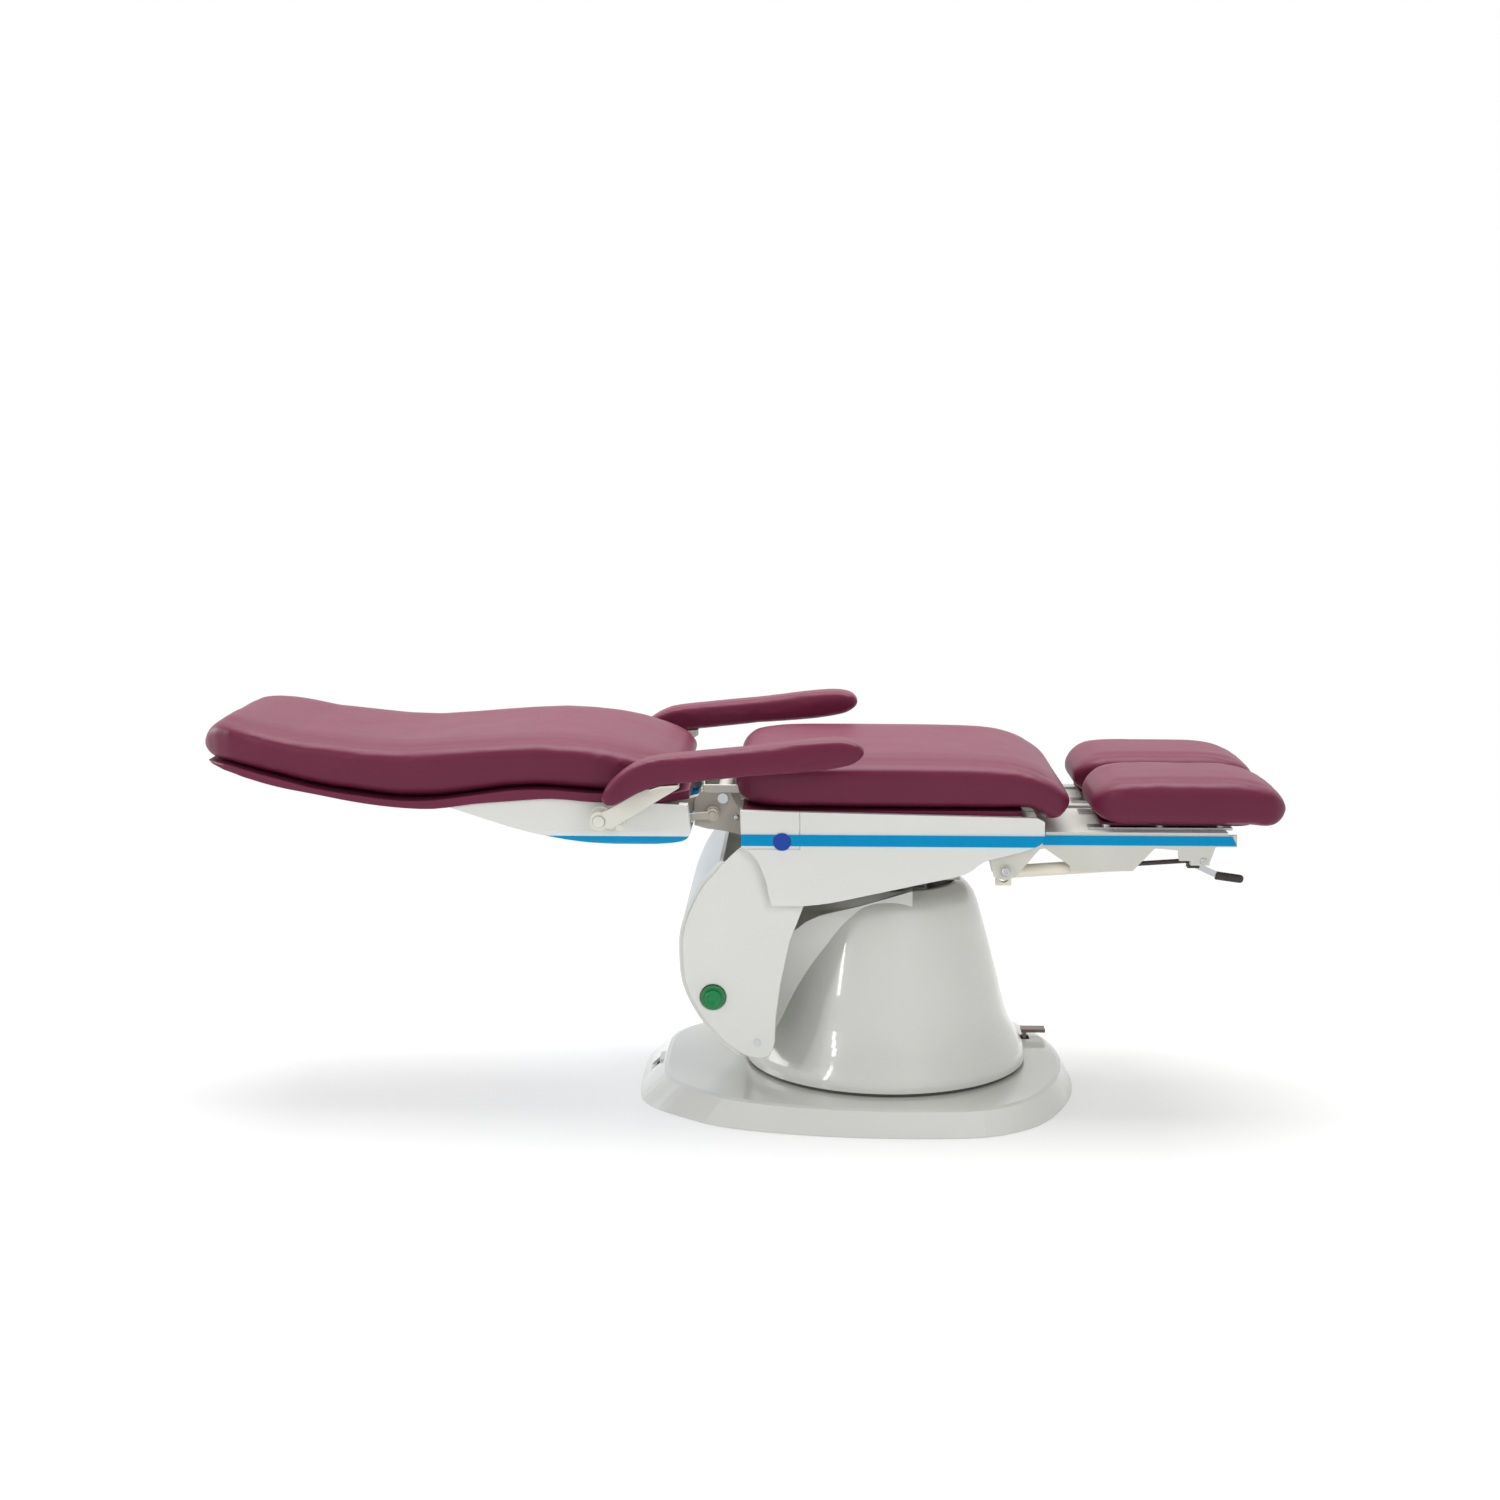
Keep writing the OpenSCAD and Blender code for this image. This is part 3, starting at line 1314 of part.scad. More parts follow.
module leg_cushion() {
    color("#7A3350") translate([0, (leg_gap + leg_w) / 2, 0]) pad(leg_pad_x, leg_len, leg_pad_z, leg_t,
        leg_low_shares, curve(leg_high_shares, 3), leg_w / 2, crown_share * leg_t, tuck_share, 0,
        leg_noses, leg_corners);
}

module leg_frame_right() { right_side() leg_frame(); }
module leg_frame_left() { leg_frame(); }
module leg_trim_right() { right_side() leg_trim(); }
module leg_trim_left() { leg_trim(); }
module gas_cylinder_right() { right_side() gas_cylinder(); }
module gas_cylinder_left() { gas_cylinder(); }
module gas_rod_right() { right_side() gas_rod(); }
module gas_rod_left() { gas_rod(); }
module release_lever_right() { right_side() release_lever(); }
module release_lever_left() { release_lever(); }
module leg_runner_right() { right_side() leg_runner(); }
module leg_runner_left() { leg_runner(); }
module leg_board_right() { right_side() leg_board(); }
module leg_board_left() { leg_board(); }
module leg_cushion_right() { right_side() leg_cushion(); }
module leg_cushion_left() { leg_cushion(); }

base_plate();
base_cover();
swivel_ring();
mains_inlet();
swivel_plate();
pedestal_cover();
column_outer();
lift_drive();
brake_pedal();
column_middle();
column_inner();
head_bracket();
tilt_shaft();
tilt_motor();
rear_side_cover_right();
rear_side_cover_left();
rear_cover();
cover_screws();
button_bezel();
push_button();
tilt_rod();
seat_frame();
hinge_pins();
recline_motor();
seat_side_cover_right();
seat_side_cover_left();
side_stripes();
side_caps();
seat_board();
seat_cushion();
recline_rod();
back_frame();
back_shell();
shell_trim();
back_panel();
back_cushion();
arm_hub_right();
arm_hub_left();
level_link_right();
level_link_left();
arm_bracket_right();
arm_bracket_left();
arm_pad_right();
arm_pad_left();
leg_frame_right();
leg_frame_left();
leg_trim_right();
leg_trim_left();
gas_cylinder_right();
gas_cylinder_left();
gas_rod_right();
gas_rod_left();
release_lever_right();
release_lever_left();
leg_runner_right();
leg_runner_left();
leg_board_right();
leg_board_left();
leg_cushion_right();
leg_cushion_left();
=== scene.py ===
"""Looks of a powered treatment chair, laid flat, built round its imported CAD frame."""
import json
from math import copysign, exp, pi, radians, sin

import bmesh
import bpy
from mathutils import Matrix, Vector, kdtree


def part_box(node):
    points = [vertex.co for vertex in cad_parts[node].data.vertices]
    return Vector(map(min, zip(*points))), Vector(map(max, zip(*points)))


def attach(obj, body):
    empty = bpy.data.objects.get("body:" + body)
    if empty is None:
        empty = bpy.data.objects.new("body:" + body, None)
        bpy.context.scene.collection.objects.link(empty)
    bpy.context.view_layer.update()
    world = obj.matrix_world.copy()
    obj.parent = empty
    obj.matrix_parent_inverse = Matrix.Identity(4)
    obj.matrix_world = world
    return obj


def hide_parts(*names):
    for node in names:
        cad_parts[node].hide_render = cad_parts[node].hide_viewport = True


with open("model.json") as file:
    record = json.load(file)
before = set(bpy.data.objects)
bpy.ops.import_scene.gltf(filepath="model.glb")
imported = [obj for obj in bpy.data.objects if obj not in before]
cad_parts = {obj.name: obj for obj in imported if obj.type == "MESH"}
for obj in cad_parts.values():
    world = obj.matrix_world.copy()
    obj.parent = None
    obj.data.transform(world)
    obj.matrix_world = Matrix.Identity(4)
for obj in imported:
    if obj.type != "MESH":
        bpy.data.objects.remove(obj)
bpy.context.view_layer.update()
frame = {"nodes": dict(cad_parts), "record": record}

bl_info = {
    "name": "Treatment chair",
    "version": (1, 0, 0),
    "blender": (4, 5, 0),
    "location": "3D View > Sidebar > Chair",
    "description": "Upholstery, covers, metalwork and stage of a powered treatment chair",
    "category": "Object",
}

NODES = frame["nodes"]
RECORD = frame["record"]
SLOT_OF = {part["node"]: part["material_slot"] for part in RECORD["subparts"]}
BODY_OF = {node: body for body, names in RECORD["behaviour"]["bodies"].items() for node in names}
SIDES = (("right", -1), ("left", 1))
MM = 0.001
# Where the seat frame's two tones meet, in metres along the chair
TONE_X = 0.15
# Nodes, without the side's name, that wear another finish than their slot's
WORN = {
    "base_cover": "base_white",
    "mains_inlet": "base_white",
    "seat_frame": "frame_two_tone",
    "seat_board": "upholstery",
    "leg_board": "upholstery",
    "arm_hub": "bracket_cream",
    "release_lever": "steel_bright",
}


def linear(code):
    """Linear colour of an sRGB hex code."""
    parts = [int(code[i:i + 2], 16) / 255 for i in (1, 3, 5)]
    return tuple(c / 12.92 if c <= 0.04045 else ((c + 0.055) / 1.055) ** 2.4 for c in parts)


def tint(name, code, use):
    return bpy.props.FloatVectorProperty(
        name=name, description=use, subtype="COLOR", min=0, max=1, default=linear(code))


def length(name, mm, use):
    return bpy.props.FloatProperty(name=name, description=use, unit="LENGTH", min=0, default=mm * MM)


class ChairColours(bpy.types.PropertyGroup):
    upholstery: tint("Upholstery", "#63213A", "Leathercloth of the cushions and armrests")
    upholstery_panel: tint("Back panel", "#68263F", "Leathercloth under the back cushion")
    cover_white: tint("Covers", "#D7D8D4", "Side covers and back shell")
    pedestal_white: tint("Pedestal", "#D3D4CF", "Pedestal cover")
    base_white: tint("Base cover", "#CFD0CB", "Moulded cover of the base and its mains inlet")
    trim_blue: tint("Stripe", "#008BC0", "Blue stripe")
    cap_blue: tint("Round cap", "#123F9C", "Plain cap on the side covers")
    button_green: tint("Button", "#007F45", "Push button")
    bezel_green: tint("Bezel", "#16783F", "Ring round the push button")
    frame_grey: tint("Leg frames", "#C9C8C0", "Powder coat of the leg frames")
    frame_dark: tint("Chassis", "#B4AFA5", "Paint of the seat and back frames")
    bracket_cream: tint("Arm brackets", "#DAD9CF", "Paint of the armrest brackets")
    gas_cream: tint("Gas springs", "#E0DACA", "Paint of the gas spring cylinders")
    steel_bright: tint("Bright steel", "#C4C6C8", "Column, pins, rods, runners and screws")
    steel_dark: tint("Dark steel", "#5B5955", "Swivel ring and plate, lift drive")
    motor_black: tint("Motors", "#2B2C2E", "Housing of the recline motor")
    grip_dark: tint("Grips", "#2F2826", "Rubber grips and release heads")
    plate_steel: tint("Base plate", "#8B8D8C", "Paint of the base plate")
    pedal_metal: tint("Brake pedal", "#7A6E66", "Plated brake pedal")


class ChairSizes(bpy.types.PropertyGroup):
    slim: length("Slimming", 2, "How much smaller a pad starts before its filling swells it")
    swell: length("Swell", 3, "Farthest that the filling moves a pad's skin")
    weave: length("Skin mesh", 6, "Mesh size of a pad's skin")
    rim: length("Rolled rim", 30, "Distance of the shallow valley from a cushion's edge")
    valley: length("Valley", 1.8, "Depth of the valley inside the rolled rim")
    valley_width: length("Valley width", 11, "Half width of the valley inside the rolled rim")
    wrap: length("Wrap", 9, "How far the seat's cloth reaches down over the edge of its board")
    head_bulge: length("Head bulge", 11, "How much the back pad's head end bulges up")
    head_span: length("Head span", 170, "Length of the back pad's bulging head end")
    tip_rise: length("Tip rise", 6, "How much an arm pad's tip bulges up")
    tip_drop: length("Tip drop", 8, "How much an arm pad's tip bulges down")
    tip_span: length("Tip span", 190, "Length of an arm pad's bulging tip")
    edge: length("Rear side cover edge", 2, "Edge radius of the rear side covers")
    rear_edge: length("Rear cover edge", 1, "Edge radius of the rear cover")
    side_edge: length("Seat side cover edge", 0.8, "Edge radius of the seat's side covers")
    panel_edge: length("Back panel edge", 3.5, "Edge radius of the upholstered back panel")
    plate_edge: length("Plate edge", 0.8, "Edge radius of steel plates")


class ChairStage(bpy.types.PropertyGroup):
    lens: bpy.props.FloatProperty(
        name="Lens", description="Focal length on a 36 mm sensor, in mm", default=52.32)
    camera: bpy.props.FloatVectorProperty(
        name="Camera place", description="Where the camera stands", subtype="TRANSLATION",
        unit="LENGTH", default=(-0.127, -3.820, 1.206))
    turn: bpy.props.FloatVectorProperty(
        name="Camera turn", description="Rotation of the camera", subtype="EULER",
        default=(radians(80.98), 0, radians(1.76)))
    floor: tint("Floor", "#F7F7F6", "Pale studio floor")
    sky: bpy.props.FloatProperty(
        name="Ambient", description="Strength of the light from all round", default=0.42)
    key: bpy.props.FloatProperty(
        name="Overhead", description="Power of the overhead softbox, in watts", default=110)


def settings():
    scene = bpy.context.scene
    return scene.chair_colours, scene.chair_sizes, scene.chair_stage


def add(tree, kind, inputs=None, **options):
    """Adds a node with its options; each input is a value or the socket that feeds it."""
    made = tree.nodes.new("ShaderNode" + kind)
    for key, value in options.items():
        setattr(made, key, value)
    for key, value in (inputs or {}).items():
        if isinstance(value, bpy.types.NodeSocket):
            tree.links.new(value, made.inputs[key])
        else:
            made.inputs[key].default_value = value
    return made


def blank(name):
    material = bpy.data.materials.new(name)
    material.use_nodes = True
    material.node_tree.nodes.clear()
    return material, material.node_tree


def shades(tree, factor, colour, low, high):
    """A colour that wanders between a darker and a lighter share of itself."""
    ramp = add(tree, "ValToRGB", {0: factor})
    for stop, share in zip(ramp.color_ramp.elements, (low, high)):
        stop.color = [min(1, c * share) for c in colour] + [1]
    return ramp.outputs[0]


def close(material, tree, shader):
    add(tree, "OutputMaterial", {"Surface": shader.outputs[0]})
    return material


def per_mm(size):
    """Pattern scale, in cycles per metre, of a feature of that many millimetres."""
    return 1 / (size * MM)


def leathercloth(name, colour):
    # Embossed PVC leathercloth over foam: the pebble grain breaks the gloss into a broad soft sheen
    material, tree = blank(name)
    at = add(tree, "TexCoord").outputs["Object"]
    cloud = add(tree, "TexNoise", {"Vector": at, "Scale": per_mm(90), "Detail": 3})
    # Real pebbles are 0.8 mm across; they are drawn at 2.2 mm so that they still show
    pebble = add(tree, "TexVoronoi", {"Vector": at, "Scale": per_mm(2.2)}, feature="SMOOTH_F1")
    pull = add(tree, "TexNoise", {"Vector": at, "Scale": per_mm(38), "Detail": 4, "Distortion": 0.6})
    grain = add(tree, "Bump", {"Height": pebble.outputs["Distance"], "Strength": 0.1,
                               "Distance": 0.3 * MM})
    relief = add(tree, "Bump", {"Height": pull.outputs[0], "Strength": 0.14, "Distance": 1.6 * MM,
                                "Normal": grain.outputs[0]})
    gloss = add(tree, "MapRange", {0: cloud.outputs[0], 3: 0.36, 4: 0.48})
    shader = add(tree, "BsdfPrincipled", {
        "Base Color": shades(tree, cloud.outputs[0], colour, 0.9, 1.1), "Roughness": gloss.outputs[0],
        "IOR": 1.5, "Specular IOR Level": 0.2, "Normal": relief.outputs[0]})
    return close(material, tree, shader)


def moulding(name, colour, roughness, coat, peel=0.07, shine=0.5):
    # Injection moulded ABS: an even colour with the faint ripple of a polished mould
    material, tree = blank(name)
    at = add(tree, "TexCoord").outputs["Object"]
    cloud = add(tree, "TexNoise", {"Vector": at, "Scale": per_mm(160), "Detail": 2})
    # The spark-eroded texture is 0.3 mm; it is drawn at 3 mm, where a render can show it
    ripple = add(tree, "TexNoise", {"Vector": at, "Scale": per_mm(3), "Detail": 2})
    rise = add(tree, "Bump", {"Height": ripple.outputs[0], "Strength": peel, "Distance": 0.25 * MM})
    gloss = add(tree, "MapRange", {0: cloud.outputs[0], 3: roughness * 0.85, 4: roughness * 1.15})
    shader = add(tree, "BsdfPrincipled", {
        "Base Color": shades(tree, cloud.outputs[0], colour, 0.97, 1.02), "Roughness": gloss.outputs[0],
        "IOR": 1.53, "Specular IOR Level": shine, "Coat Weight": coat, "Coat Roughness": 0.06,
        "Normal": rise.outputs[0]})
    return close(material, tree, shader)


def powder_coat(name, colour, roughness, front=None):
    # Powder coated steel: a thick even skin with orange peel about 2 mm across
    material, tree = blank(name)
    at = add(tree, "TexCoord").outputs["Object"]
    peel = add(tree, "TexNoise", {"Vector": at, "Scale": per_mm(2), "Detail": 3})
    cloud = add(tree, "TexNoise", {"Vector": at, "Scale": per_mm(70), "Detail": 3})
    rise = add(tree, "Bump", {"Height": peel.outputs[0], "Strength": 0.18, "Distance": 0.3 * MM})
    gloss = add(tree, "MapRange", {0: cloud.outputs[0], 3: roughness - 0.06, 4: roughness + 0.08})
    coat = shades(tree, cloud.outputs[0], colour, 0.93, 1.05)
    if front:
        # The knee plates in front of the seat are coated lighter than the rails and the hinge behind
        along = add(tree, "SeparateXYZ", {0: at})
        split = add(tree, "MapRange", {0: along.outputs["X"], 1: TONE_X, 2: TONE_X + MM})
        lighter = shades(tree, cloud.outputs[0], front, 0.95, 1.04)
        coat = add(tree, "MixRGB", {0: split.outputs[0], 1: coat, 2: lighter}).outputs[0]
    shader = add(tree, "BsdfPrincipled", {
        "Base Color": coat, "Roughness": gloss.outputs[0], "IOR": 1.5, "Normal": rise.outputs[0]})
    return close(material, tree, shader)


def turned_steel(name, colour, roughness):
    # Turned or drawn steel: fine rings round the bar, which stretch its highlights
    material, tree = blank(name)
    at = add(tree, "TexCoord").outputs["Object"]
    along = add(tree, "Mapping", {"Vector": at, "Scale": (0.15, 1, 0.15)})
    rings = add(tree, "TexNoise", {"Vector": along.outputs[0], "Scale": per_mm(0.9), "Detail": 2})
    smear = add(tree, "TexNoise", {"Vector": at, "Scale": per_mm(25), "Detail": 4})
    rise = add(tree, "Bump", {"Height": rings.outputs[0], "Strength": 0.12, "Distance": 0.15 * MM})
    gloss = add(tree, "MapRange", {0: smear.outputs[0], 3: roughness - 0.08, 4: roughness + 0.12})
    shader = add(tree, "BsdfPrincipled", {
        "Base Color": shades(tree, smear.outputs[0], colour, 0.85, 1.05), "Roughness": gloss.outputs[0],
        "Metallic": 1, "Normal": rise.outputs[0]})
    return close(material, tree, shader)


def moulded_rubber(name, colour):
    # Moulded rubber: matt, slightly dusty, with a fine leathery texture
    material, tree = blank(name)
    at = add(tree, "TexCoord").outputs["Object"]
    skin = add(tree, "TexVoronoi", {"Vector": at, "Scale": per_mm(1.4)})
    dust = add(tree, "TexNoise", {"Vector": at, "Scale": per_mm(12), "Detail": 4})
    rise = add(tree, "Bump", {"Height": skin.outputs["Distance"], "Strength": 0.25,
                              "Distance": 0.2 * MM})
    gloss = add(tree, "MapRange", {0: dust.outputs[0], 3: 0.5, 4: 0.68})
    shader = add(tree, "BsdfPrincipled", {
        "Base Color": shades(tree, dust.outputs[0], colour, 0.8, 1.35), "Roughness": gloss.outputs[0],
        "IOR": 1.52, "Normal": rise.outputs[0]})
    return close(material, tree, shader)


def finishes():
    c = settings()[0]
    return {
        "upholstery": leathercloth("PVC leathercloth, burgundy", c.upholstery),
        "upholstery_panel": leathercloth("PVC leathercloth, stretched", c.upholstery_panel),
        "cover_white": moulding("ABS, moulded satin white", c.cover_white, roughness=0.34, coat=0.1),
        "pedestal_white": moulding("ABS, moulded gloss white", c.pedestal_white, roughness=0.3,
                                   coat=0.7, peel=0.02),
        "base_white": moulding("ABS, moulded and lacquered white", c.base_white, roughness=0.3,
                               coat=0.8, peel=0.02),
        "trim_blue": moulding("PVC foil, satin blue", c.trim_blue, roughness=0.4, coat=0, peel=0.05,
                              shine=0.08),
        "cap_blue": moulding("ABS, moulded blue", c.cap_blue, roughness=0.3, coat=0.1, peel=0.05,
                             shine=0.2),
        "button_green": moulding("ABS, moulded green", c.button_green, roughness=0.25, coat=0.2,
                                 peel=0.03, shine=0.2),
        "bezel_green": moulding("ABS, moulded dark green", c.bezel_green, roughness=0.4, coat=0),
        "motor_black": moulding("Polyamide, moulded black", c.motor_black, roughness=0.5, coat=0,
                                peel=0.2),
        "frame_grey": powder_coat("Steel, powder coated light grey", c.frame_grey, roughness=0.4),
        "frame_dark": powder_coat("Steel, painted grey", c.frame_dark, roughness=0.45),
        "frame_two_tone": powder_coat("Steel, painted in two greys", c.frame_dark, roughness=0.42,
                                      front=c.frame_grey),
        "bracket_cream": powder_coat("Steel, powder coated warm grey", c.bracket_cream,
                                     roughness=0.34),
        "gas_cream": powder_coat("Steel, painted cream", c.gas_cream, roughness=0.35),
        "plate_steel": powder_coat("Steel plate, painted", c.plate_steel, roughness=0.45),
        "steel_bright": turned_steel("Steel, turned bright", c.steel_bright, roughness=0.28),
        "steel_dark": turned_steel("Steel, blackened", c.steel_dark, roughness=0.4),
        "pedal_metal": turned_steel("Steel, zinc plated", c.pedal_metal, roughness=0.35),
        "grip_dark": moulded_rubber("Rubber, moulded black", c.grip_dark),
    }


# Points of a node's loose triangles nearer than this are one point, in metres
MERGE = 0.02 * MM
# Faces that turn by less than this are one flat face, in degrees
FLAT = 0.5
# Edges shorter than this stay sharp, in metres
LEAST_EDGE = 0.6 * MM
# Points of a turned shape nearer than this are one point, in metres
AXIS_MERGE = 0.005 * MM


def skin_of(node):
    """The frame's mesh of a node as one closed skin."""
    bm = bmesh.new()
    bm.from_mesh(NODES[node].data)
    bmesh.ops.remove_doubles(bm, verts=bm.verts, dist=MERGE)
    return bm


def piece(name, bm, slot, body, stands_for=(), sharp=35, weighted=False):
    """Turns a bmesh into a named piece that rides on a body and wears the finish of its slot."""
    mesh = bpy.data.meshes.new(name)
    bm.to_mesh(mesh)
    bm.free()
    made = bpy.data.objects.new(name, mesh)
    bpy.context.scene.collection.objects.link(made)
    mesh.shade_smooth()
    mesh.set_sharp_from_angle(angle=radians(sharp))
    mesh.materials.append(Finish.made[slot])
    if weighted:
        even = made.modifiers.new("even shading", "WEIGHTED_NORMAL")
        even.keep_sharp = True
    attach(made, body)
    if stands_for:
        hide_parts(*stands_for)
    return made


def bevel(bm, edges, radius, segments=3):
    bmesh.ops.bevel(bm, geom=edges, offset=radius, offset_type="OFFSET", affect="EDGES",
                    segments=segments, profile=0.5, material=-1, clamp_overlap=True)


def rounded(node, edge, segments=3, corner=35):
    """A node's skin with its flat faces joined up and its sharp edges rounded."""
    bm = skin_of(node)
    bmesh.ops.dissolve_limit(bm, angle_limit=radians(FLAT), verts=bm.verts, edges=bm.edges)
    bevel(bm, [e for e in bm.edges if len(e.link_faces) == 2 and e.calc_length() > LEAST_EDGE
               and e.calc_face_angle(0) > radians(corner)], edge, segments)
    return bm


def round_edges(nodes, edge, segments=3):
    for node in nodes:
        piece(node + "_rounded", rounded(node, edge, segments), SLOT_OF[node], BODY_OF[node], [node],
              weighted=True)


def bake(made):
    """Applies the object's modifiers to its mesh."""
    graph = bpy.context.evaluated_depsgraph_get()
    mesh = bpy.data.meshes.new_from_object(made.evaluated_get(graph), depsgraph=graph)
    made.modifiers.clear()
    made.data = mesh


def turned_piece(name, profile, place, along, slot, body, stands_for=(), sharp=35, steps=32):
    """A piece spun from (radius, height) points, in mm, that stands at a place along a direction."""
    bm = bmesh.new()
    rim = [bm.verts.new((r * MM, 0, h * MM)) for r, h in profile]
    wire = [bm.edges.new(pair) for pair in zip(rim, rim[1:])]
    bmesh.ops.spin(bm, geom=rim + wire, cent=(0, 0, 0), axis=(0, 0, 1), angle=2 * pi, steps=steps,
                   use_merge=True)
    bmesh.ops.remove_doubles(bm, verts=bm.verts, dist=AXIS_MERGE)
    bmesh.ops.recalc_face_normals(bm, faces=bm.faces)
    turn = Vector(along).to_track_quat("Z", "Y").to_matrix().to_4x4()
    bmesh.ops.transform(bm, matrix=Matrix.Translation(Vector(place) * MM) @ turn, verts=bm.verts)
    return piece(name, bm, slot, body, stands_for, sharp)


class Step:
    """What every step of the build shares."""
    bl_options = {"REGISTER", "UNDO"}


class Finish(Step, bpy.types.Operator):
    """Makes the finishes and gives them to the frame's own parts"""
    bl_idname = "chair.finish"
    bl_label = "Finishes"
    made = {}

    def execute(self, context):
        Finish.made.clear()
        Finish.made.update(finishes())
        for node, obj in NODES.items():
            name = node.removesuffix("_right").removesuffix("_left")
            obj.data.materials.clear()
            obj.data.materials.append(Finish.made[WORN.get(name, SLOT_OF[node])])
        return {"FINISHED"}


PADS = {
    # node: (fill, share of the swell, lies flat below)
    "seat_cushion": (0.8, 1.0, True),
    "back_cushion": (0.8, 1.0, False),
    "leg_cushion_right": (0.8, 0.8, True),
    "leg_cushion_left": (0.8, 0.8, True),
    "arm_pad_right": (0.9, 0.6, False),
    "arm_pad_left": (0.9, 0.6, False),
}
# A pad with a greater share of the swell than this is a cushion with a rolled rim
CUSHION_SHARE = 0.6
# Mesh size of the narrow arm pads, as a share of the cushions'
FINE_WEAVE = 0.7
# Smoothing passes over the start skin of a cushion and of an arm pad, and over a finished pad
CUSHION_PASSES = 5
ARM_PASSES = 3
LAST_PASSES = 4
# Simulation of the filling: frames, pressure and substeps
FRAMES = 20
PRESSURE = 4
SUBSTEPS = 4


def start_pad(node, share):
    """The slim closed skin from which a pad swells."""
    sizes = settings()[1]
    bm = skin_of(node)
    for v, inward in [(v, -v.normal) for v in bm.verts]:
        v.co += inward * sizes.slim * share
    pad = piece(node, bm, SLOT_OF[node], BODY_OF[node], [node])
    skin = pad.modifiers.new("skin", "REMESH")
    skin.mode = "VOXEL"
    skin.voxel_size = sizes.weave * (1 if share > CUSHION_SHARE else FINE_WEAVE)
    fair = pad.modifiers.new("fair", "SMOOTH")
    fair.factor = 0.5
    fair.iterations = CUSHION_PASSES if share > CUSHION_SHARE else ARM_PASSES
    bake(pad)
    return pad


def swell_pads(pads):
    """Blows the skins up with a pressed filling, all in one run."""
    scene = bpy.context.scene
    for pad in pads:
        filling = pad.modifiers.new("filling", "CLOTH")
        filling.settings.use_pressure = True
        filling.settings.uniform_pressure_force = PRESSURE
        filling.settings.effector_weights.gravity = 0
        filling.settings.quality = SUBSTEPS
        filling.point_cache.frame_start = 1
        filling.point_cache.frame_end = FRAMES
    for step in range(1, FRAMES + 1):
        scene.frame_set(step)
    for pad in pads:
        bake(pad)
    scene.frame_set(1)


# A pad's wall has normals less upright than the first, its upper face ones more than the second
WALL_NORMAL = 0.25
TOP_NORMAL = 0.3


def rolled_rim(mesh, rim, valley, width):
    """Presses a shallow valley into the upper face at one distance from the pad's edge."""
    wall = [v.co.copy() for v in mesh.vertices if abs(v.normal.z) < WALL_NORMAL]
    tree = kdtree.KDTree(len(wall))
    for i, co in enumerate(wall):
        tree.insert((co.x, co.y, 0), i)
    tree.balance()
    for v, out in [(v, v.normal.copy()) for v in mesh.vertices if v.normal.z > TOP_NORMAL]:
        away = tree.find((v.co.x, v.co.y, 0))[2]
        v.co -= out * valley * exp(-(((away - rim) / width) ** 2))


def ease(t):
    """Nought to one with soft ends."""
    t = min(1, max(0, t))
    return t * t * (3 - 2 * t)


# How the cloth's wrap sets in round the board, in metres: over this distance outwards of its sides,
# and, at this distance above its top or in front of it, over this much
SIDE_BLEND = 5 * MM
TOP_BLEND = (24 * MM, 22 * MM)
LIP_BLEND = (44 * MM, 30 * MM)


def wrap_down(mesh, low, high, reach):
    """Draws a cushion's lower edge down round its board, twice as far in front as behind."""
    for v in mesh.vertices:
        beside = ease(max(abs(v.co.y) - high.y, low.x - v.co.x) / SIDE_BLEND)
        near = ease((high.z + TOP_BLEND[0] - v.co.z) / TOP_BLEND[1])
        behind_lip = ease((high.x + LIP_BLEND[0] - v.co.x) / LIP_BLEND[1])
        forward = (v.co.x - low.x) / (high.x - low.x)
        v.co.z -= reach * (1 + min(1, max(0, forward))) * beside * near * behind_lip


# The bulge of a pad's end is fullest near its tip and sets in over this height, in metres
BULGE_LEAN = 0.6
BULGE_BLEND = 15 * MM


def plump(mesh, span, reach):
    """Bulges a pad near its end: the head end for a positive span, the foot end otherwise."""
    tip = (min if span > 0 else max)(mesh.vertices, key=lambda v: v.co.x).co.copy()
    for v in mesh.vertices:
        along = min(1, abs(v.co.x - tip.x) / abs(span)) ** BULGE_LEAN
        beyond = ease(copysign(1, reach) * (v.co.z - tip.z) / BULGE_BLEND)
        v.co.z += reach * sin(pi * along) * beyond


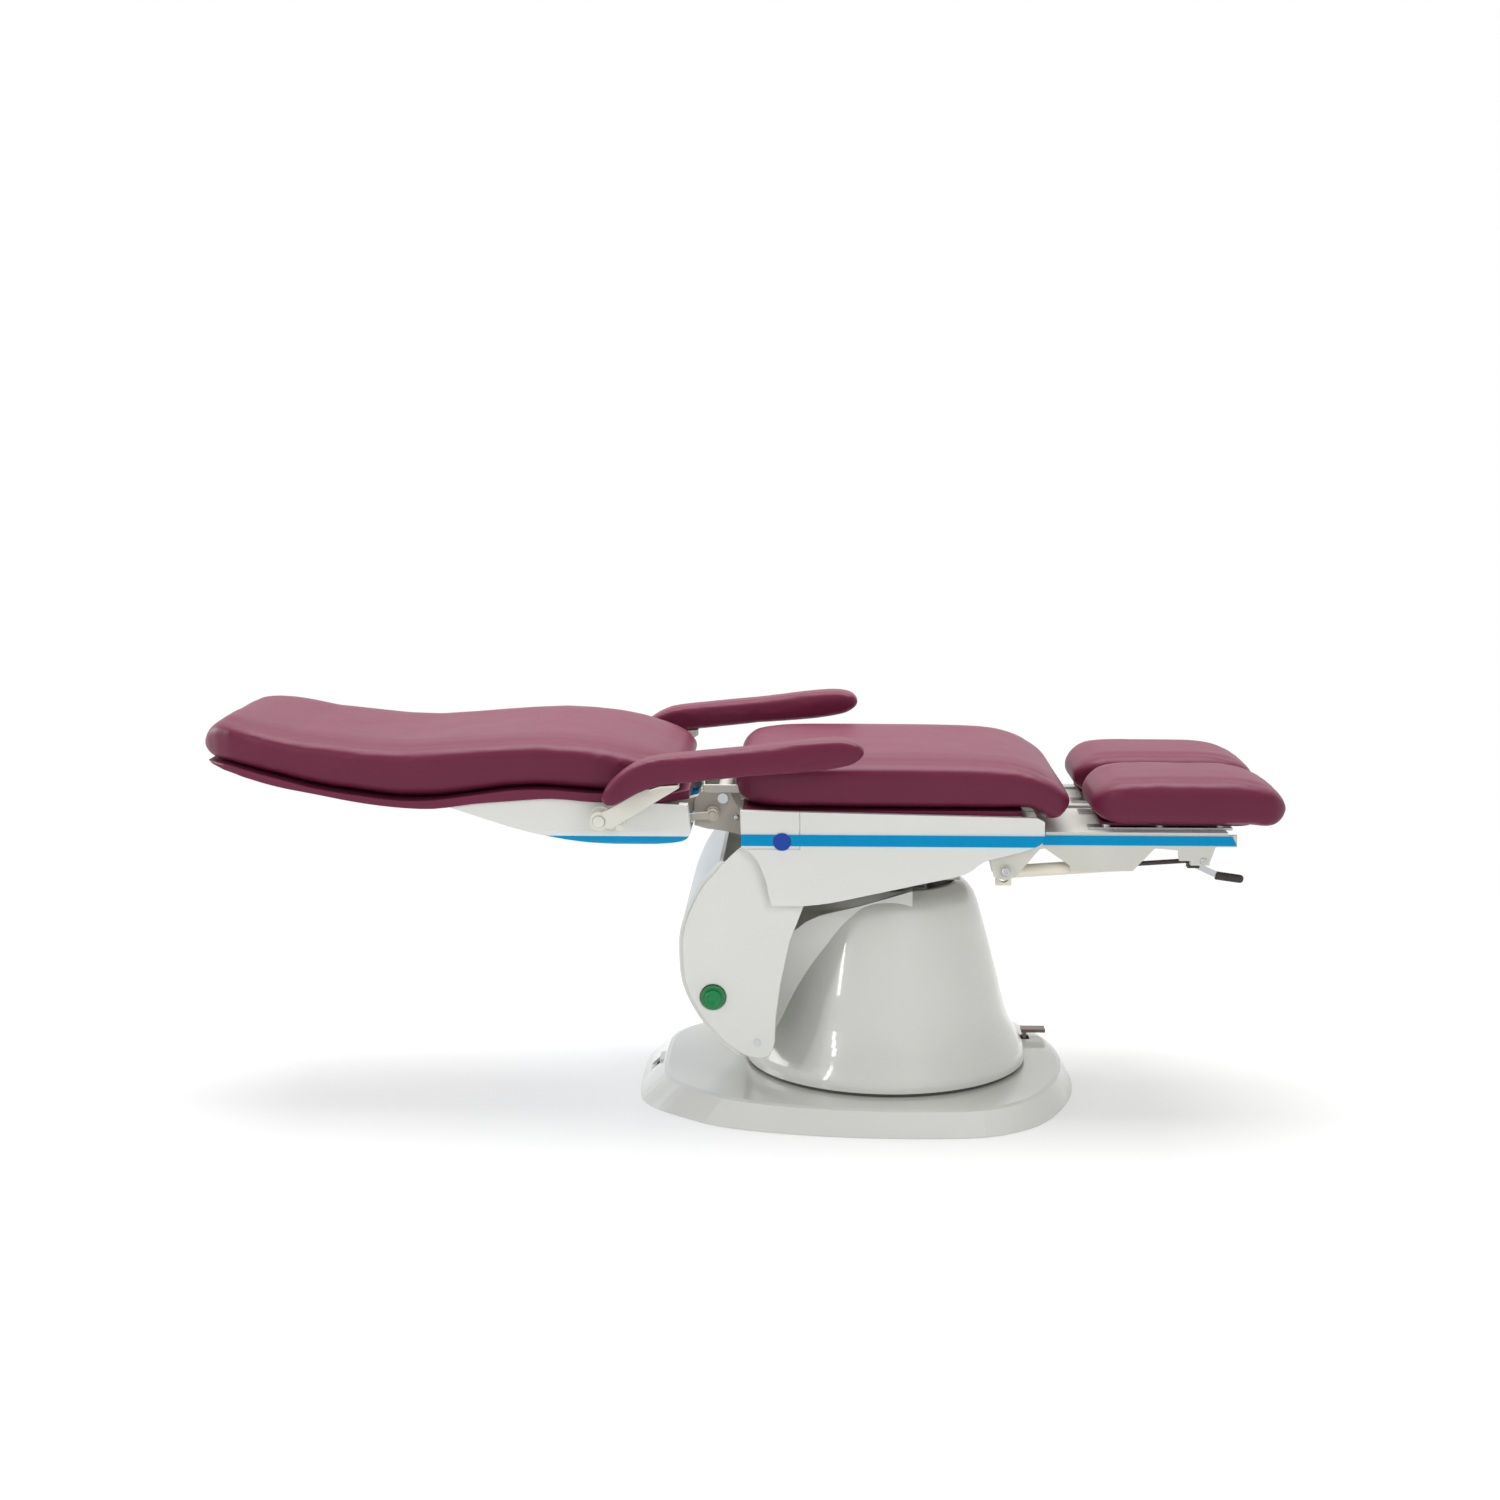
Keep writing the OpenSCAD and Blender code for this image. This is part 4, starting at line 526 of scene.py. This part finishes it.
class Upholstery(Step, bpy.types.Operator):
    """Makes the seat, back and leg cushions as swollen, rolled-edge pads, and the armrest pads as
    swollen pads
    """
    bl_idname = "chair.upholstery"
    bl_label = "Cushions and pads"

    def execute(self, context):
        sizes = settings()[1]
        pads = {name: start_pad(name, row[1]) for name, row in PADS.items()}
        rest = {name: [v.co.copy() for v in pad.data.vertices] for name, pad in pads.items()}
        swell_pads(pads.values())
        for name, (fill, share, flat) in PADS.items():
            pad = pads[name]
            mesh = pad.data
            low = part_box(name)[0].z
            cap = sizes.swell * share
            moves = [v.co - start for v, start in zip(mesh.vertices, rest[name])]
            for v, start, move in zip(mesh.vertices, rest[name], moves):
                if move.length > cap:
                    move.length = cap
                v.co = start + move
                if flat and v.co.z < low:
                    v.co.z = low
            if name == "seat_cushion":
                wrap_down(mesh, *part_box("seat_board"), sizes.wrap)
            if name == "back_cushion":
                plump(mesh, sizes.head_span, sizes.head_bulge)
            if name.startswith("arm_pad"):
                plump(mesh, -sizes.tip_span, sizes.tip_rise)
                plump(mesh, -sizes.tip_span, -sizes.tip_drop)
            if share > CUSHION_SHARE:
                rolled_rim(mesh, sizes.rim, sizes.valley, sizes.valley_width)
            for face in mesh.polygons:
                face.use_smooth = True
            calm = pad.modifiers.new("calm", "SMOOTH")
            calm.factor = 0.5
            calm.iterations = LAST_PASSES
            finer = pad.modifiers.new("finer", "SUBSURF")
            finer.levels = finer.render_levels = 1
        return {"FINISHED"}


class BackPanel(Step, bpy.types.Operator):
    """Makes the upholstered panel under the back cushion"""
    bl_idname = "chair.back_panel"
    bl_label = "Back panel"

    def execute(self, context):
        piece("back_panel_covered", rounded("back_panel", settings()[1].panel_edge, 4),
              "upholstery_panel", "backrest", ["back_panel"], weighted=True)
        return {"FINISHED"}


class Covers(Step, bpy.types.Operator):
    """Rounds the edges of the moulded covers"""
    bl_idname = "chair.covers"
    bl_label = "Moulded covers"

    def execute(self, context):
        sizes = settings()[1]
        round_edges(["seat_side_cover_right", "seat_side_cover_left"], sizes.side_edge)
        round_edges(["rear_side_cover_right", "rear_side_cover_left"], sizes.edge)
        round_edges(["rear_cover"], sizes.rear_edge)
        return {"FINISHED"}


# Button head screws: name, place in mm on the right side, head radius, body with the side's place
SCREWS = [
    ("gas_pin_screw", (190, -248, 435), 8, "seat"),
    ("leg_plate_screw", (520, -232, 452), 5.5, "leg_{}"),
    ("hinge_screw", (-262, -180, 512), 5, "seat"),
]
# The solids' armrest strips run on in front of here, in mm, and show as a line under the pads
STRIP_END = -352
# Flat caps over the ends of the armrest pins: place in mm on the right side, radius
PIN_CAP = (-485, -298, 525)
PIN_CAP_R = 9.4
# Folded flange on top of the hinge plate: lower and upper corner on the right side, edge, in mm
FLANGE = ((-318, -186, 555), (-214, -180, 569))
FLANGE_EDGE = 2
# Lever grip: where it starts in mm and which way it points, on the right side
GRIP_START = (547, -208, 422.4)
GRIP_WAY = (0.990, 0, -0.139)
# Middle of the push button's face, in mm
BUTTON_FACE = (-299.9, -248.9, 211.9)
# Outline of the dished push button, as (radius, height) points in mm
DISH = [(0, -24), (13.9, -24), (13.9, -1.2), (13.3, -0.3), (12.4, 0), (10.6, 0), (9.8, -0.4),
        (8.8, -1.6), (5, -2.4), (0, -2.7)]
DISH_STEPS = 48


def button_head(r):
    """Outline of a button head screw with its socket, as (radius, height) points in mm."""
    return [(0, -1), (r, -1), (r, 0.15 * r), (0.9 * r, 0.32 * r), (0.7 * r, 0.45 * r),
            (0.46 * r, 0.5 * r), (0.42 * r, 0.46 * r), (0.42 * r, 0.2 * r), (0, 0.16 * r)]


def flat_cap(r):
    """Outline of a flat cap with a soft rim, as (radius, height) points in mm."""
    return [(0, -2), (r, -2), (r, 0.6), (0.9 * r, 1.1), (0, 1.3)]


def ribbed_grip():
    """Outline of a rubber grip with a rib every 3 mm."""
    line = [(0, -2), (5.6, -2), (7.1, -0.5)]
    for i in range(13):
        line += [(7.2, 3 * i + 0.6), (7.2, 3 * i + 1.8), (6.7, 3 * i + 2.1), (6.7, 3 * i + 2.9)]
    return line + [(7.1, 39.5), (6.4, 42.6), (4.4, 45), (0, 46)]


def on_side(place, hand):
    """A place on the right side, or its mirror image on the left."""
    x, y, z = place
    return x, -y * hand, z


def bracket(side, edge):
    """An armrest bracket without the front of its strip, which would show under the pad."""
    node = "arm_bracket_" + side
    bm = rounded(node, edge, 2)
    cut = bmesh.ops.bisect_plane(
        bm, geom=bm.verts[:] + bm.edges[:] + bm.faces[:], dist=0.001 * MM,
        plane_co=(STRIP_END * MM, 0, 0), plane_no=(1, 0, 0), clear_outer=True)
    rim = [e for e in cut["geom_cut"] if isinstance(e, bmesh.types.BMEdge)]
    bmesh.ops.holes_fill(bm, edges=rim)
    piece(node + "_rounded", bm, "bracket_cream", "armrest_" + side, [node], weighted=True)


def flange(side, hand):
    """The folded flange on top of a hinge plate."""
    low, high = (Vector(corner) * MM for corner in FLANGE)
    middle = Vector(on_side((low + high) / 2, hand))
    bm = bmesh.new()
    bmesh.ops.create_cube(
        bm, size=1, matrix=Matrix.Translation(middle) @ Matrix.Diagonal((*(high - low), 1)))
    bevel(bm, bm.edges[:], FLANGE_EDGE * MM)
    piece("hinge_flange_" + side, bm, "frame_grey", "seat", weighted=True)


class Metalwork(Step, bpy.types.Operator):
    """Rounds the edges of brackets, plates and links, and adds the screw heads and lever grips"""
    bl_idname = "chair.metalwork"
    bl_label = "Metalwork"

    def execute(self, context):
        sizes = settings()[1]
        sided = [n + "_" + side for n in ("leg_frame", "level_link") for side, _ in SIDES]
        round_edges(sided, sizes.plate_edge, 2)
        for side, hand in SIDES:
            bracket(side, sizes.plate_edge)
            outwards = (0, hand, 0)
            for name, place, r, body in SCREWS:
                turned_piece(name + "_" + side, button_head(r), on_side(place, hand), outwards,
                             "steel_bright", body.format(side), sharp=40)
            turned_piece("arm_pin_cap_" + side, flat_cap(PIN_CAP_R), on_side(PIN_CAP, hand), outwards,
                         "bracket_cream", "backrest", sharp=50)
            flange(side, hand)
            turned_piece("lever_grip_" + side, ribbed_grip(), on_side(GRIP_START, hand), GRIP_WAY,
                         "grip_dark", "release_lever_" + side, sharp=30)
        return {"FINISHED"}


class Button(Step, bpy.types.Operator):
    """Makes the dished face of the green push button"""
    bl_idname = "chair.button"
    bl_label = "Push button"

    def execute(self, context):
        turned_piece("push_button_dished", DISH, BUTTON_FACE, (0, -1, 0), "button_green", "button",
                     ["push_button"], 50, DISH_STEPS)
        return {"FINISHED"}


# Lamps: name, place, target and size in metres, share of the overhead power, shows in reflections
LAMPS = [
    ("overhead softbox", (-0.1, 0.5, 2.7), (-0.1, 0, 0.5), (3.2, 2.0), 1, True),
    ("front softbox", (1.4, -3.2, 2.0), (0, 0, 0.5), (1.4, 1.4), 0.28, False),
    ("left strip", (-1.9, -1.65, 1.15), (0, 0, 0.3), (0.14, 0.9), 0.07, True),
    ("head softbox", (-2.7, 0.5, 1.1), (-0.3, 0, 0.4), (1.2, 1.0), 0.16, True),
]
FLOOR_RADIUS = 9
# The floor fades into the surround between these distances, in metres, from this share to all
FADE_FROM = 1.1
FADE_TO = 2.4
FADE_SHARE = 0.45


def in_view(tree):
    """The light path, and a socket that is one where the camera or a reflection looks."""
    path = add(tree, "LightPath")
    seen = add(tree, "Math", {0: path.outputs["Is Camera Ray"], 1: path.outputs["Is Glossy Ray"]},
               operation="MAXIMUM")
    return path, seen.outputs[0]


class Stage(Step, bpy.types.Operator):
    """Makes the camera, the pale floor, the white surround and the soft lamps"""
    bl_idname = "chair.stage"
    bl_label = "Stage"

    def lamp(self, name, place, target, size, power, seen):
        data = bpy.data.lights.new(name, "AREA")
        data.shape = "RECTANGLE"
        data.size, data.size_y = size
        data.energy = power
        lamp = bpy.data.objects.new(name, data)
        lamp.location = place
        lamp.rotation_euler = (Vector(target) - Vector(place)).to_track_quat("-Z", "Y").to_euler()
        lamp.visible_glossy = seen
        bpy.context.scene.collection.objects.link(lamp)

    def execute(self, context):
        scene = context.scene
        stage = settings()[2]
        data = bpy.data.cameras.new("camera")
        data.lens = stage.lens
        data.sensor_width = 36
        camera = bpy.data.objects.new("camera", data)
        camera.location = stage.camera
        camera.rotation_euler = stage.turn
        scene.collection.objects.link(camera)
        scene.camera = camera

        for name, place, target, size, share, seen in LAMPS:
            self.lamp(name, place, target, size, stage.key * share, seen)

        world = bpy.data.worlds.new("surround")
        world.use_nodes = True
        tree = world.node_tree
        tree.nodes.clear()
        path, seen = in_view(tree)
        seen = add(tree, "Math", {0: seen, 1: path.outputs["Is Transmission Ray"]},
                   operation="MAXIMUM")
        power = add(tree, "MapRange", {0: seen.outputs[0], 3: stage.sky, 4: 1.0})
        glow = add(tree, "Background", {"Color": (1, 1, 1, 1), "Strength": power.outputs[0]})
        add(tree, "OutputWorld", {"Surface": glow.outputs[0]})
        scene.world = world

        bm = bmesh.new()
        bmesh.ops.create_circle(bm, cap_ends=True, radius=FLOOR_RADIUS, segments=64)
        mesh = bpy.data.meshes.new("floor")
        bm.to_mesh(mesh)
        bm.free()
        floor = bpy.data.objects.new("floor", mesh)
        scene.collection.objects.link(floor)
        # Matt studio paint, which fades into the white surround well away from the chair
        material, tree = blank("Studio paint, matt")
        at = add(tree, "TexCoord").outputs["Object"]
        away = add(tree, "VectorMath", {0: at}, operation="LENGTH")
        fade = add(tree, "MapRange", {0: away.outputs["Value"], 1: FADE_FROM, 2: FADE_TO,
                                      3: FADE_SHARE, 4: 1.0}, interpolation_type="SMOOTHSTEP")
        speck = add(tree, "TexNoise", {"Vector": at, "Scale": per_mm(40), "Detail": 3})
        paint = add(tree, "BsdfDiffuse", {
            "Color": shades(tree, speck.outputs[0], stage.floor, 0.995, 1.0)})
        glow = add(tree, "Emission", {"Color": (1, 1, 1, 1), "Strength": 1.0})
        share = add(tree, "Math", {0: fade.outputs[0], 1: in_view(tree)[1]}, operation="MULTIPLY")
        mix = add(tree, "MixShader", {0: share.outputs[0], 1: paint.outputs[0], 2: glow.outputs[0]})
        close(material, tree, mix)
        mesh.materials.append(material)
        scene.view_settings.view_transform = "Standard"
        return {"FINISHED"}


class ChairPanel(bpy.types.Panel):
    """Lists the steps and the values of the chair"""
    bl_idname = "VIEW3D_PT_chair"
    bl_label = "Treatment chair"
    bl_space_type = "VIEW_3D"
    bl_region_type = "UI"
    bl_category = "Chair"

    def draw(self, context):
        for step in STEPS:
            self.layout.operator(step.bl_idname)
        for group in settings():
            column = self.layout.column(align=True)
            for key in group.bl_rna.properties.keys():
                if key not in ("rna_type", "name"):
                    column.prop(group, key)


STEPS = (Stage, Finish, Upholstery, BackPanel, Covers, Metalwork, Button)
GROUPS = (("chair_colours", ChairColours), ("chair_sizes", ChairSizes), ("chair_stage", ChairStage))


def register():
    for name, group in GROUPS:
        bpy.utils.register_class(group)
        setattr(bpy.types.Scene, name, bpy.props.PointerProperty(type=group))
    for cls in STEPS + (ChairPanel,):
        bpy.utils.register_class(cls)


def unregister():
    for cls in reversed(STEPS + (ChairPanel,)):
        bpy.utils.unregister_class(cls)
    for name, group in reversed(GROUPS):
        delattr(bpy.types.Scene, name)
        bpy.utils.unregister_class(group)


def main():
    register()
    bpy.ops.chair.stage()
    bpy.ops.chair.finish()
    bpy.ops.chair.upholstery()
    bpy.ops.chair.back_panel()
    bpy.ops.chair.covers()
    bpy.ops.chair.metalwork()
    bpy.ops.chair.button()


if __name__ == "__main__":
    main()
